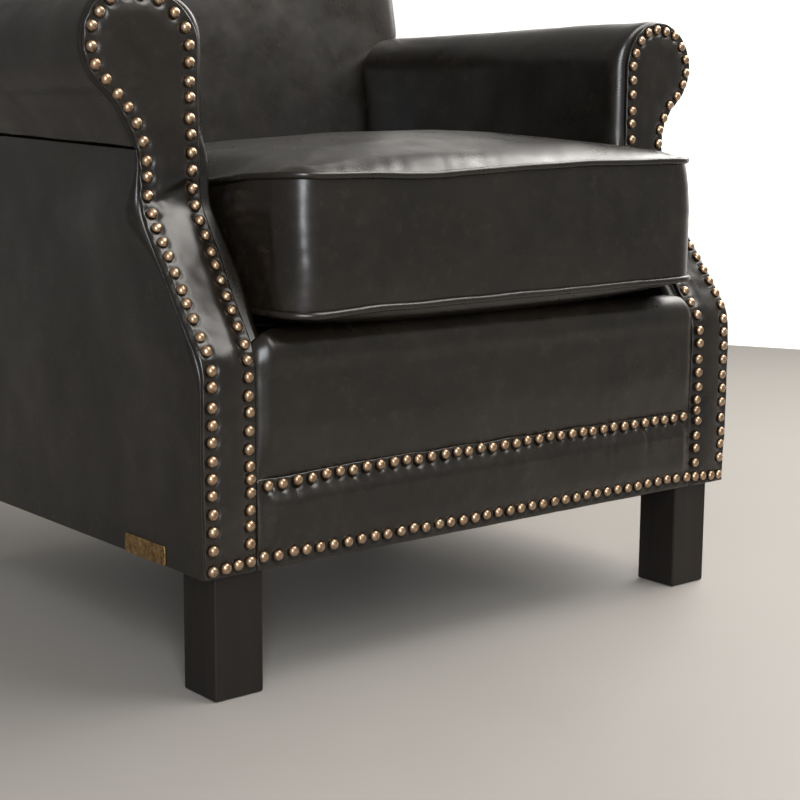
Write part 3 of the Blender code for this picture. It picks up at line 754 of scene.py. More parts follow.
def spaced(line, pitch):
    """Points along a line, spaced by the pitch given at each of its points."""
    gaps = np.linalg.norm(np.diff(line, axis=0), axis=1)
    count = np.concatenate([[0.0], np.cumsum(gaps * 2.0 / (pitch[1:] + pitch[:-1]))])
    return read_line(line, count, np.linspace(0.0, count[-1], round(count[-1]) + 1))


def facing_nails(chance):
    """X and run of a facing's nails, from its outer foot over its head and down."""
    z = facing_rows()
    inner, outer = facing_edges(z)
    run = run_at(z)
    up = np.stack([outer, run], axis=1)
    down = np.stack([inner, run], axis=1)[::-1]
    edge = resampled(np.concatenate([up, down]), 0.001)
    share = smooth(0.42, 0.62, np.linspace(0.0, 1.0, len(edge)))
    height = read_front(edge[:, 1], FRONT_LINE)[1]
    inset = NAIL_OUTER_INSET + NAIL_OUTER_EXTRA * smooth(0.03, -0.03, height - UPPER_BEND)
    inset = inset - NAIL_OUTER_FOOT * smooth(0.08, 0.0, height - UNDER)
    line = edge + normals_of(edge) * blend(inset, NAIL_INNER_INSET, share)[:, None]
    share = share[line[:, 1] > NAIL_FOOT]
    line = line[line[:, 1] > NAIL_FOOT]
    near_band = hump(line[:, 1], BAND_NAIL - UNDER + 0.011, 0.012) * share
    nails = spaced(line, NAIL_PITCH - NAIL_CROWDING * near_band)
    nails[1:-1] += chance.normal(0.0, NAIL_STRAY, (len(nails) - 2, 2)) * (0.5, 1.0)
    nails[0, 1] -= NAIL_FOOT_DROP
    foot = np.linspace(nails[0], nails[-1], 4)[1:-1]
    return np.concatenate([nails, foot])


def dimples(x, z, nails):
    """How deep each point lies in the dimple of the nearest nail, from 0 to 1."""
    deepest = np.zeros(np.broadcast(x, z).shape)
    for nail_x, nail_z in nails:
        dimple = smooth(DIMPLE_REACH, DIMPLE_FLOOR, np.hypot(x - nail_x, z - nail_z))
        deepest = np.maximum(deepest, dimple)
    return deepest


def facing_lift(x, z, nails):
    """How far a facing's leather stands out: crowned, dimpled and creased."""
    run = run_at(z)
    margin = facing_margin(x, z)
    inner, outer = facing_edges(z)
    lift = -FACING_SINK - rounding(np.minimum(margin, run), FACING_EDGE)
    crown = smooth(0.006, 0.028, margin) * (1.0 - 0.5 * hump(run, run_at(UPPER_BEND), 0.020))
    shelf = smooth(0.009, 0.026, x - inner) * smooth(0.0, 0.006, outer - x)
    crown = blend(crown, shelf, on_slope(z, (-0.01, 0.02), (-0.006, -0.05)))
    lift += FACING_CROWN * crown * smooth(0.006, 0.034, run)
    upright = smooth(0.02, -0.01, z - LOWER_BEND)
    lift -= FACING_INNER_SINK * smooth(0.010, 0.0, x - inner) * upright
    sloping = on_slope(z, (-0.01, 0.02), (0.015, -0.01))
    lift -= blend(DIMPLE_DEPTH, DIMPLE_SLOPE_DEPTH, sloping) * dimples(x, run, nails)
    places = grid(x, 0.0, run)
    lift += uneven(places, FACING_WAVES)
    return lift + facing_folds(x, run, places) * smooth(0.004, 0.016, margin)


def facing_folds(x, run, places):
    """A fold and crumples where the leather is squeezed at the upper bend."""
    past = run - run_at(UPPER_BEND) + 0.35 * (x - FACING_OUTER) + waves(places, *FOLD_WANDER)
    fold = FOLD_HEIGHT * (hump(past, 0.004, 0.0032) - hump(past, -0.003, 0.005))
    crumple = waves(places, *CRUMPLE) * hump(past, 0.0, 0.022)
    return fold + crumple * smooth(FACING_INNER_UPPER + 0.02, FACING_OUTER, x)


def make_facing(side, word):
    """The padded strip of leather on an arm's front, widening to a round head, with its nails."""
    chance = np.random.default_rng(11 + side)
    nails = facing_nails(chance)
    z = facing_rows()[:, None] * np.ones(FACING_COLUMNS + 1)
    x = blend(*facing_edges(z), eased(FACING_COLUMNS))
    run = run_at(z)
    shown_x = side * (x + lean(x, z, side))
    front = grid(shown_x, *on_front(run, facing_lift(x, z, nails)))
    back = grid(shown_x, *on_front(run, -FACING_BACK))
    facing = pad(f"facing_leather_{word}", front, back, LEATHER)
    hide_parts(f"arm_facing_{word}")

    x, run = nails.T
    z = read_front(run, FRONT_LINE)[1]
    shown_x = side * (x + lean(x, z, side))
    places = grid(shown_x, *on_front(run, facing_lift(x, z, nails) + NAIL_PROUD))
    tip = side * NAIL_TIP * (x > (FACING_INNER_UPPER + FACING_OUTER) / 2)
    add_nails(f"nails_facing_{word}", places, grid(tip, *read_front(run, FRONT_OUT)), chance)


def nail_form():
    """One domed nail head pointing along Z: its points and faces."""
    turn = np.linspace(0.0, 2 * math.pi, NAIL_SIDES + 1)[:-1]
    up = np.radians([0.0, 14.0, 30.0, 46.0, 62.0, 77.0])
    radius = np.concatenate([[NAIL_RADIUS * NAIL_SKIRT_SHARE], NAIL_RADIUS * np.cos(up)])
    height = np.concatenate([[-NAIL_SKIRT], NAIL_HEIGHT * np.sin(up)])
    rings = grid(np.outer(radius, np.cos(turn)), np.outer(radius, np.sin(turn)), height[:, None])
    points = np.concatenate([rings.reshape(-1, 3), [(0.0, 0.0, NAIL_HEIGHT)]])
    number = numbered(rings)
    faces = quads(number, closed=True).tolist()
    faces += [[int(a), int(b), len(points) - 1] for a, b in zip(number[-1], np.roll(number[-1], -1))]
    faces.append(number[0][::-1].tolist())
    return points, faces


def add_nails(name, places, axes, chance):
    """Nail heads at places, each on its own axis with a little lean."""
    form, faces = nail_form()
    points = []
    all_faces = []
    for place, axis in zip(places, axes):
        axis = Vector(axis) + Vector(chance.normal(0.0, NAIL_LEAN, 3))
        turn = axis.to_track_quat("Z", "Y").to_matrix()
        spin = Matrix.Rotation(chance.uniform(0.0, math.pi), 3, "Z")
        scale = chance.normal(1.0, NAIL_SCATTER)
        shape = form * scale * (1.0 + waves(form + chance.uniform(0, 9, 3), *NAIL_WAVE))[:, None]
        moved = shape @ np.array(turn @ spin).T + place
        all_faces += [[corner + len(points) * len(form) for corner in face] for face in faces]
        points.append(moved)
    add_piece(name, np.concatenate(points), all_faces, BRONZE)


# Front band and border

def band_rise(x, z):
    """How much higher the band runs than its plain height, above its foot."""
    rise = (BAND_LIFT + BAND_DROP) * smooth(-BAND_REACH, -BAND_REACH / 2, x) - BAND_DROP
    return rise * smooth(UNDER + 0.03, BAND_NAIL, z)


def band_nails(chance, z, reach):
    """X and Z of a row of nails along the band."""
    x = np.linspace(-reach, reach, round(2 * reach / NAIL_PITCH) + 1)
    x_stray = chance.normal(0.0, BAND_NAIL_STRAY, len(x))
    z_stray = chance.normal(0.0, BAND_NAIL_STRAY, len(x))
    return np.stack([x + x_stray, z + z_stray], axis=1)


def band_lift(x, z, nails, gathers):
    """How far the band stands out: crowned, dimpled and gathered below its upper nails."""
    side = inside(x, -BAND_REACH, BAND_REACH)
    under = BAND_UPPER_EDGE - z
    lift = -BAND_SINK - rounding(np.minimum(side, z - UNDER), BAND_EDGE) - rounding(under, BAND_FOLD)
    middle = smooth(0.008, 0.034, z - UNDER) * smooth(*BAND_LEDGE, under)
    lift += BAND_CROWN * middle * smooth(0.0, 0.02, side)
    lift -= DIMPLE_DEPTH * dimples(x, z, nails) * smooth(0.0, 0.0045, under)
    below = np.clip(BAND_NAIL - z, 0.0, None)
    for middle, depth, drop, slant in gathers:
        crease = depth * hump(x, middle + slant * below, PUCKER_WIDTH)
        lift -= PUCKER * crease * hump(below, 0.0, PUCKER_DROP * drop) * smooth(0.0, 0.004, below)
    return lift + uneven(grid(x, 0.0, z), BAND_WAVES)


def make_band():
    """The nailed band along the foot of the front, its upper edge folded under."""
    chance = np.random.default_rng(5)
    upper = band_nails(chance, BAND_NAIL, BAND_UPPER_REACH)
    lower = band_nails(chance, UNDER + NAIL_FOOT + BAND_FOOT_RISE, BAND_LOWER_REACH)
    nails = np.concatenate([upper, lower])
    count = len(upper)
    gathers = np.stack([
        upper[:, 0] + chance.normal(0.0, PUCKER_STRAY, count), chance.uniform(*PUCKER_DEPTH_SHARES, count),
        chance.uniform(*PUCKER_DROP_SHARES, count), chance.normal(0.0, PUCKER_SLANT, count),
    ], axis=1)
    end = BAND_REACH - 0.002 * eased(8)[:-4]
    middle = BAND_REACH * (2.0 * np.linspace(0.0, 1.0, 420) - 1.0)
    x = np.concatenate([-end, middle[2:-2], end[::-1]])
    x, z = np.meshgrid(x, blend(UNDER, BAND_UPPER_EDGE, eased(72)))
    lift = band_lift(x, z, nails, gathers)
    wander = waves(grid(x, 0.0, 0.0), *BAND_WANDER) * smooth(BAND_NAIL, BAND_TOP, z) + band_rise(x, z)
    front = grid(x, FRONT - lift, z + wander)
    back = grid(x, FRONT + BAND_BACK, z + wander)
    band = pad("front_band_leather", front, back, LEATHER)
    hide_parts("front_band")
    for name, row in (("nails_band_upper", upper), ("nails_band_lower", lower)):
        x, z = row.T
        places = grid(x, FRONT - band_lift(x, z, nails, gathers) - NAIL_PROUD, z + band_rise(x, z))
        add_nails(name, places, grid(0.0 * x, -1.0, 0.05), chance)


def make_border():
    """The padded border above the band, which rolls over the front rail to the deck."""
    corner = (BORDER_RECESS, DECK_HIGH.z)
    rear = (BORDER_HIGH.y - FRONT, DECK_HIGH.z)
    line = rounded_path([(BORDER_RECESS, BAND_TOP - BORDER_FOOT), corner, rear], (BORDER_ROUND,), BORDER_STEP)
    out = normals_of(line)
    y = line[:, :1]
    z = line[:, 1:]
    reach = blend(BORDER_REACH, INNER - BORDER_GAP, smooth(0.014, 0.026, y))
    x = reach * eased_across(110)
    side = inside(x, -reach, reach)
    run = np.linspace(0.0, 1.0, len(line))[:, None]
    lift = BORDER_BULGE * smooth(-0.004, 0.05, z - BAND_TOP) * (1.0 - smooth(0.45, 0.75, run))
    lift = lift - BORDER_TUCK * (1.0 - smooth(-0.006, 0.016, z - BAND_TOP))
    puff = hump(y, 0.020, 0.020) * smooth(-0.035, -0.008, z - DECK_HIGH.z)
    lift = (lift + BORDER_PUFF * puff) * smooth(0.0, 0.018, side) - rounding(side, BORDER_EDGE)
    lift = lift + uneven(grid(x, y, z), BORDER_WAVES)
    front = grid(x, FRONT + y + out[:, :1] * lift, z + out[:, 1:] * lift)
    back = grid(x, FRONT + y - out[:, :1] * BORDER_BACK, z - out[:, 1:] * BORDER_BACK)
    border = pad("front_border_leather", front, back, LEATHER)
    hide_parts("front_border")


# Arms

def seam_rise(y):
    """How much higher the seam under a roll lies than at the front."""
    return np.clip(SEAM_SLOPE * (y - FRONT - SETBACK), 0.0, SEAM_RISE)


def arm_section():
    """X and Z of the arm's leather, from its inner foot over the roll to the seam."""
    face = np.array([(INNER, DECK_LOW.z), (INNER, ROLL_Z)])
    shoulder = arc((ROLL_X, ROLL_Z), ROLL_X - INNER, ROLL_RADIUS, math.pi, math.pi / 2)
    over = arc((ROLL_X, ROLL_Z), ROLL_RADIUS, ROLL_RADIUS, math.pi / 2, NECK_ANGLE)
    seam = math.pi - math.asin((SEAM_Z + SEAM_TURN - NECK_Z) / NECK_RADIUS)
    neck = arc((NECK_X, NECK_Z), NECK_RADIUS, NECK_RADIUS, NECK_ANGLE + math.pi, seam)
    tuck = np.array([(HALF - depth, SEAM_Z + SEAM_GAP) for depth in SEAM_TUCK])
    return resampled(np.concatenate([face, shoulder[1:], over[1:], neck[1:], tuck]), ARM_STEP)


def arm_turn(climb, slope):
    """Radius at which the arm's leather turns in behind the facing."""
    turn = blend(WRAP_ROUND, WRAP_ROUND_UPPER, smooth(0.03, 0.07, climb - UPPER_BEND))
    turn = blend(turn, WRAP_ROUND_SLOPE, slope)
    return blend(turn, WRAP_ROUND_ROLL, smooth(ROLL_Z, ARM_HIGH.z - 0.01, climb))


def make_arm(side, word):
    """An arm's inner pad and roll, in one leather that turns in behind the facing."""
    section = arm_section()
    section_x, section_z = section.T
    out = normals_of(section)
    leaf = INNER + ARM_LEAF
    corners = [section[-1], (leaf, section_z[-1]), (leaf, DECK_LOW.z), section[0]]
    hidden = resampled(corners, ARM_HIDDEN_STEP)[1:-1]
    climb = np.maximum.accumulate(section_z)
    slope = on_slope(climb, (0.02, 0.08), (0.075, 0.02))
    wrap = blend(WRAP_DEPTH, WRAP_DEPTH_SLOPE, slope)
    turn = arm_turn(climb, slope)
    under_roll = (1.0 - smooth(0.0, 0.04, section_z - SEAM_Z)) * (section_x > ROLL_X - 0.03)
    rings = []

    def on_section(depth):
        return np.array([front_y(z, d) for z, d in zip(section_z, depth)])

    def add_ring(inset, y_shown, y_hidden):
        shown = section - out * inset[:, None]
        shown[:, 0] += lean(section_x, section_z, side)
        shown[:, 1] += under_roll * seam_rise(y_shown)
        inner = np.maximum(hidden[:, 0], shown[0, 0] + GAP)
        ring_x = np.concatenate([shown[:, 0], inner])
        ring_z = np.concatenate([shown[:, 1], hidden[:, 1]])
        rings.append(grid(side * ring_x, np.concatenate([y_shown, y_hidden]), ring_z))

    for extra in WRAP_TUCK_INSETS:
        add_ring(turn + extra, on_section(wrap + WRAP_TUCK), front_y(hidden[:, 1], WRAP_DEPTH + WRAP_TUCK))
    for angle in np.radians(np.linspace(0.0, 90.0, 9)):
        y = on_section(wrap + turn * (1.0 - math.cos(angle)))
        add_ring(turn * (1.0 - math.sin(angle)), y, front_y(hidden[:, 1], WRAP_HIDDEN))
    start = rings[-1][: len(section), 1]
    end = back_y(BACK_PAD - ARM_END, section_z)
    hidden_start = rings[-1][len(section):, 1]
    hidden_end = back_y(BACK_PAD - ARM_END, hidden[:, 1])
    for share in np.linspace(0.0, 1.0, 74)[1:]:
        y = blend(start, end, share)
        places = grid(section_x, y, section_z)
        rough = waves(places, *ARM_WAVE, 3.0 * side) + waves(places, *ARM_FINE_WAVE)
        inset = -rough * smooth(0.0, 0.06, share) * smooth(0.0, 0.06, 1.0 - share)
        add_ring(inset, y, blend(hidden_start, hidden_end, share))
    for angle in np.radians(np.linspace(15.0, 90.0, 6)):
        back = ARM_END * math.sin(angle)
        inset = np.full(len(section), ARM_END_INSET * (1.0 - math.cos(angle)))
        add_ring(inset, end + back, hidden_end + back)
    arm = loft(f"arm_leather_{word}", np.array(rings))
    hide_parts(f"arm_pad_{word}")


def side_end(z):
    """Y at which an outside arm meets the panel behind the back."""
    return back_y(BACK_THICKNESS - BACK_PANEL - GAP, z)


def side_lift(y, z, side):
    """How far an outside arm's leather stands out: full in front, turned in at its seam."""
    nudge = 0.001
    slope = (front_y(z + nudge, SIDE_SETBACK) - front_y(z - nudge, SIDE_SETBACK)) / (2 * nudge)
    from_front = (y - front_y(z, SIDE_SETBACK)) / np.sqrt(1.0 + slope**2)
    other = np.minimum(side_end(z) - y, inside(z, UNDER, SEAM_Z))
    edge = np.minimum(from_front, other)
    turn = SIDE_TURN + SIDE_TURN_UPPER * hump(z, UPPER_BEND - 0.014, 0.026)
    turn = turn + SIDE_TURN_LOWER * hump(z, LOWER_BEND, 0.018)
    turned = turn * rounding(from_front / (SIDE_TURN_SHARE * turn), 1.0)
    lift = SIDE_CROWN * smooth(0.0, 0.07, edge) - rounding(other, SIDE_EDGE) - turned
    full = FACING_OUTER + turn - HALF + bow(z)
    lift = lift + full * smooth(0.15, 0.0, from_front) * smooth(0.01, -0.03, z - SEAM_Z)
    places = grid(0.0, y, z)
    rough = waves(places, *SIDE_WAVE, 2.0 * side) + waves(places, *SIDE_FINE_WAVE)
    return lift + rough * smooth(0.0, 0.04, edge)


def make_side(side, word):
    """An outside arm: leather over a padded panel, drawn in at the seam under the roll."""
    z = blend(UNDER, SEAM_Z, eased(110))[:, None]
    start = front_y(z, SIDE_SETBACK)
    end = side_end(z)
    y = blend(start, end, eased(190))
    lift = side_lift(y, z, side)
    z = z + seam_rise(y) * smooth(UPPER_BEND, SEAM_Z, z)
    out = lean(HALF, z, side) * smooth(end, start + 0.10, y)
    front = grid(side * (HALF + lift + out), y, z)
    back = grid(side * (HALF - SIDE_BACK), y, z)
    panel = pad(f"side_leather_{word}", front, back, LEATHER)
    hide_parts(f"outside_arm_{word}")


# Back

def back_widths(z):
    """Half widths of the inside back at a height: between the arms and behind them."""
    over = np.clip((z - BACK_TOP + BACK_CORNER) / BACK_CORNER, 0.0, 0.999)
    whole = HALF - BACK_CORNER * (1.0 - math.sqrt(1.0 - over**2))
    if z > ARM_HIGH.z - BACK_LAP:
        return whole, whole
    up = max(0.0, (z - ROLL_Z) / ROLL_RADIUS)
    face = ROLL_X - (ROLL_X - INNER) * math.sqrt(max(0.0, 1.0 - up**2)) + BACK_UNDERLAP
    return face, (whole if z > SEAM_Z + SEAM_RISE - BACK_LAP else face)


def back_depths(z):
    """Depths of the inside back's face and rear at a height."""
    if z > BACK_SHOULDER:
        half = BACK_ROUND * math.sqrt(max(0.0, 1.0 - ((z - BACK_SHOULDER) / BACK_ROUND) ** 2))
        return BACK_ROUND - half, BACK_ROUND + half
    share = np.clip((z - DECK_HIGH.z) / (BACK_SHOULDER - DECK_HIGH.z), 0.0, 1.0)
    rear = BACK_THICKNESS if z > REAR_HIGH.z + 0.001 else BACK_THICKNESS - BACK_TUCK
    return -BACK_BULGE * math.sin(math.pi * share), rear


def back_slice(z):
    """The inside back's outline at a height, round from the middle of its face."""
    face, behind = back_widths(z)
    front, rear = back_depths(z)
    step = min(max(BACK_PAD - BACK_LAP, front), rear)
    corners = [(0.0, front), (face, front), (face, step), (behind, step), (behind, rear), (0.0, rear)]
    corners = np.array(corners)
    half = []
    for start, end, count in zip(corners, corners[1:], (44, 10, 6, 12, 30)):
        half += [blend(start, end, share) for share in np.linspace(0.0, 1.0, count + 1)[:-1]]
    half = np.array(half + [corners[-1]])
    other = half[1:-1][::-1] * (-1.0, 1.0)
    return np.concatenate([half, other])


def make_inside_back():
    """The inside back, which rolls over the top of the frame and round its sides."""
    rise = np.arange(DECK_LOW.z, BACK_SHOULDER, 0.006)
    top = BACK_SHOULDER + BACK_ROUND * np.sin(np.linspace(0.0, math.radians(88.0), 22))
    heights = np.concatenate([rise, top])
    slices = np.array([back_slice(z) for z in heights])
    z = heights[:, None] * np.ones(slices.shape[1])
    for _ in range(BACK_SOFTENING):
        slices = (np.roll(slices, 1, axis=1) + 2.0 * slices + np.roll(slices, -1, axis=1)) / 4.0
        slices[1:-1] = (slices[:-2] + 2.0 * slices[1:-1] + slices[2:]) / 4.0
    x = slices[..., 0]
    depth = slices[..., 1]
    flank = smooth(0.016, 0.008, HALF - np.abs(x)) * smooth(0.0, 0.02, depth - BACK_PAD)
    flank = flank * smooth(0.004, -0.008, z - REAR_HIGH.z)
    x = blend(x, np.sign(x) * HALF, flank)
    on_face = smooth(0.03, 0.0, depth) * smooth(0.0, 0.05, z - DECK_HIGH.z)
    full = BACK_CROWN * (1.0 - (x / HALF) ** 2) + uneven(grid(x, depth, z), BACK_WAVES)
    back = loft("inside_back_leather", grid(x, back_y(depth - on_face * full, z), z))
    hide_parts("inside_back")


def make_outside_back():
    """The plain panel that closes the back, seamed to the sides and to the roll along the top."""
    z = blend(REAR_LOW.z, REAR_HIGH.z, eased(110))[:, None]
    x = HALF * eased_across(110)
    edge = np.minimum(inside(x, -HALF, HALF), inside(z, REAR_LOW.z, REAR_HIGH.z))
    lift = REAR_CROWN * smooth(0.0, 0.10, edge) - rounding(edge, REAR_EDGE)
    lift = lift + uneven(grid(x, 0.0, z), REAR_WAVES) * smooth(0.0, 0.04, edge)
    front = grid(x, back_y(BACK_THICKNESS + lift, z), z)
    back = grid(x, back_y(BACK_THICKNESS - BACK_PANEL, z), z)
    panel = pad("outside_back_leather", front, back, LEATHER)
    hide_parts("outside_back")


# Cushion

RIM_SHARES = (np.linspace(0.0, 1.0, CUSHION_SPANS + 1) + eased(CUSHION_SPANS)) / 2


def cushion_rim():
    """The four sides of the cushion's plan, each between the middles of two corners."""
    inner = CUSHION_HALF - CUSHION_CORNER
    loop = []
    for number, way in enumerate(((-1, -1), (1, -1), (1, 1), (-1, 1))):
        start = math.pi * (1.0 + number / 2)
        loop.append(arc(way * inner, CUSHION_CORNER, CUSHION_CORNER, start, start + math.pi / 2, 24))
    loop = np.concatenate(loop)
    loop = np.concatenate([loop[12:], loop[:13]])
    sides = []
    quarter = [len(loop) * k // 4 for k in range(5)]
    for low, high in zip(quarter, quarter[1:]):
        stretch = loop[low:min(high + 1, len(loop))]
        run = run_along(stretch)
        sides.append(read_line(stretch, run, RIM_SHARES * run[-1]))
    return sides


def drawn_in(plan):
    """Pulls the plan's sides in a little between its corners."""
    share = plan / CUSHION_HALF
    pull = CUSHION_DRAW * (1.0 - np.clip(share[..., ::-1] ** 2, 0.0, 1.0)) * share * np.abs(share)
    return plan - pull


def cushion_plan():
    """The cushion's plan as a grid of points that follows its rounded rim."""
    south, east, north, west = cushion_rim()
    north = north[::-1]
    west = west[::-1]
    u = RIM_SHARES[None, :, None]
    v = RIM_SHARES[:, None, None]
    across = (1 - v) * south[None, :, :] + v * north[None, :, :]
    along = (1 - u) * west[:, None, :] + u * east[:, None, :]
    near = (1 - u) * (1 - v) * south[0] + u * (1 - v) * south[-1]
    far = (1 - u) * v * north[0] + u * v * north[-1]
    return across + along - (near + far)


def rim_distance(plan):
    """Distance inwards from the cushion's rim."""
    over = np.abs(plan) - (CUSHION_HALF - CUSHION_CORNER)
    outside = np.linalg.norm(np.maximum(over, 0.0), axis=-1)
    return CUSHION_CORNER - outside - np.minimum(over.max(axis=-1), 0.0)


def cushion_crown(plan):
    """Height of the cushion's top above its rim: a roll, a trough behind it and a crown."""
    x = plan[..., 0]
    inward = rim_distance(plan)
    full = smooth(-0.03, 0.14, np.linalg.norm(np.abs(plan) - CUSHION_HALF, axis=-1))
    growth = 1.0 + CUSHION_ROLL_GROWTH * smooth(-0.05, 0.24, x)
    reach = CUSHION_ROLL_REACH * (0.3 + 0.7 * full) * growth
    short = 1.0 - np.clip(inward / reach, 0.0, 1.0)
    roll = CUSHION_ROLL * (0.6 + 0.4 * full) * (1.0 - short**1.9) * (0.5 + 0.5 * growth)
    trough = CUSHION_TROUGH * hump(inward / reach, 1.55, 0.45) * smooth(0.16, -0.05, x)
    rise = np.clip((CUSHION_HALF - np.abs(plan)) / CUSHION_DOME, 0.0, 1.0)
    crown = CUSHION_CROWN * np.prod(np.sin(math.pi / 2 * rise), axis=-1)
    level = CUSHION_LEVEL * x * smooth(0.02, 0.10, inward)
    return roll - trough - level + crown


def cushion_folds(plan):
    """Unevenness of the cushion's top: slow hollows, and slanting pulls along its rim."""
    inward = rim_distance(plan)
    slow = uneven(grid(plan[..., 0], plan[..., 1], 0.0), CUSHION_WAVES)
    share = np.abs(plan) / CUSHION_HALF
    along = np.where(share[..., 0] < share[..., 1], 1.0, 0.0)
    slant = plan - PULL_SLANT * inward[..., None]
    across = grid(slant[..., 0] * along + 0.2 * inward, slant[..., 1] * (1.0 - along), 0.0)
    at_rim = smooth(0.002, 0.012, inward) * smooth(0.050, 0.014, inward)
    return slow * smooth(0.0, 0.05, inward) + waves(across, *CUSHION_PULL) * at_rim


def cushion_level(plan):
    """How much lower the cushion's top lies, as a minus: towards the back and in a sag in front."""
    y = plan[..., 1] + CUSHION_HALF[1]
    rim_drop = CUSHION_DROP * smooth(-0.02, 0.25, y)
    drop = blend(rim_drop, CUSHION_SLOPE * smooth(0.15, 0.45, y), smooth(0.0, 0.06, rim_distance(plan)))
    sag = CUSHION_SAG * hump(plan[..., 0], -0.13, 0.140) * smooth(0.09, 0.0, y)
    return -drop - sag


def cushion_flare(plan):
    """How far the boxing stands out at the front right corner."""
    ahead = smooth(0.055, 0.012, plan[..., 1] + CUSHION_HALF[1])
    return CUSHION_FLARE * ahead * smooth(0.12, CUSHION_HALF[0], plan[..., 0])


def boxing_row(edge, out, share):
    """X and Y of one row of the boxing, a share of the way up."""
    place = grid(edge[:, 0], edge[:, 1], share * BOXING_HEIGHT)
    full = CUSHION_BULGE * math.sin(math.pi * share) ** 0.6 + CUSHION_SPREAD * (1.0 - share)
    rough = waves(place, *BOXING_WAVE) + waves(place * (1.0, 1.0, 0.3), *BOXING_UPRIGHT_WAVE)
    rough = rough + waves(place * (0.25, 0.25, 1.0), *BOXING_LEVEL_WAVE)
    moved = edge + out * (full + rough * math.sin(math.pi * share))[:, None]
    moved[:, 0] += cushion_flare(edge) * (1.0 - share**4)
    return moved


def make_cushion():
    """The loose seat cushion, crowned above and below its boxing, with its piping."""
    plan = cushion_plan()
    askew = CUSHION_TILT * plan[..., 0]
    share = np.clip(np.abs(plan) / CUSHION_HALF, 0.0, 1.0) ** 2.4
    swell = np.sqrt(np.prod(1.0 - share, axis=-1)) * smooth(-0.002, 0.012, rim_distance(plan))
    top = CUSHION_UPPER + askew + cushion_level(plan) + cushion_crown(plan) + cushion_folds(plan)
    bottom = np.maximum(CUSHION_LOWER + askew - CUSHION_SWELL * swell, DECK_HIGH.z + GAP)
    plan = drawn_in(plan)

    number = numbered(plan)
    rim = rim_of(number)
    edge = plan.reshape(-1, 2)[rim]
    out = np.roll(edge, -1, axis=0) - np.roll(edge, 1, axis=0)
    out = np.stack([out[:, 1], -out[:, 0]], axis=1) / np.linalg.norm(out, axis=1, keepdims=True)
    low = bottom.reshape(-1)[rim]
    high = top.reshape(-1)[rim]
    lower_plan = plan * (1.0 + CUSHION_SPREAD / CUSHION_HALF)
    lower_plan[..., 0] += cushion_flare(plan)
    points = [grid(lower_plan[..., 0], lower_plan[..., 1], bottom), grid(plan[..., 0], plan[..., 1], top)]
    rings = [rim]
    for row, share in enumerate(eased(BOXING_ROWS)[1:-1]):
        points.append(grid(*boxing_row(edge, out, share).T, blend(low, high, share)))
        rings.append(2 * number.size + len(rim) * row + np.arange(len(rim)))
    rings.append(rim + number.size)
    points = np.concatenate([part.reshape(-1, 3) for part in points])
    points[:, 1] += CUSHION_MIDDLE
    wall = quads(np.array(rings), closed=True)
    faces = np.concatenate([quads(number)[:, ::-1], quads(number + number.size), wall])
    cushion = add_piece("seat_cushion_leather", points, faces.tolist(), LEATHER, "cushion")
    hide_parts("seat_cushion")
    make_piping("upper", edge, out, high + PIPING_RISE)
    lower_edge = edge + out * CUSHION_SPREAD
    lower_edge[:, 0] += cushion_flare(edge)
    make_piping("lower", lower_edge, out, low - PIPING_FALL)


def make_piping(word, edge, out, height):
    """A round of leather piping sewn along one edge of the boxing."""
    centre = edge + out * PIPING_OUT
    turn = np.linspace(0.0, 2 * math.pi, PIPING_SIDES + 1)[:-1]
    places = grid(centre[:, 0], centre[:, 1], height)
    radius = PIPING * (1.0 + waves(places, *PIPING_WAVE))[:, None]
    x = centre[:, :1] + out[:, :1] * radius * np.cos(turn)
    y = centre[:, 1:] + out[:, 1:] * radius * np.cos(turn) + CUSHION_MIDDLE
    z = (height + waves(places, *PIPING_WANDER))[:, None] + radius * np.sin(turn)
    rings = grid(x, y, z)
    rings = np.concatenate([rings, rings[:1]])
    faces = quads(numbered(rings), closed=True).tolist()
    piping = add_piece(f"cushion_piping_{word}", rings, faces, LEATHER, "cushion")
    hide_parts(f"cushion_welt_{word}")


# Cloth, plate and what stays as it is

def make_deck():
    """The padded deck under the cushion, covered in black lining cloth."""
    y = blend(DECK_LOW.y, DECK_HIGH.y - DECK_SHORT, eased(60))[:, None]
    x = DECK_HALF * eased_across(60)
    edge = np.minimum(inside(x, -DECK_HALF, DECK_HALF), inside(y, y[0], y[-1]))
    dip = DECK_DIP + rounding(edge, DECK_EDGE) + np.abs(waves(grid(x, y, 0.0), *DECK_WAVE))
    deck = pad("deck_cloth_pad", grid(x, y, DECK_HIGH.z - dip), grid(x, y, DECK_LOW.z), CLOTH)
    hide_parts("seat_deck")


def add_sheet(name, points, keep, material, thickness):
    """A thin cloth over a grid of points, with some of its cells left out."""
    faces = quads(numbered(points))[keep.reshape(-1)]
    used, faces = np.unique(faces, return_inverse=True)
    points = points.reshape(-1, 3)[used]
    cloth = add_piece(name, points, faces.reshape(-1, 4).tolist(), material)
    solid = cloth.modifiers.new("Thickness", "SOLIDIFY")
    solid.thickness = thickness
    solid.offset = 0.0
    return cloth


def notched(low, first, second, high, count):
    """Places from low to high, with two of them at the notches' ends."""
    ends = (np.linspace(low, first, 6)[:-1], np.linspace(second, high, 6))
    return np.concatenate([ends[0], np.linspace(first, second, count)[:-1], ends[1]])


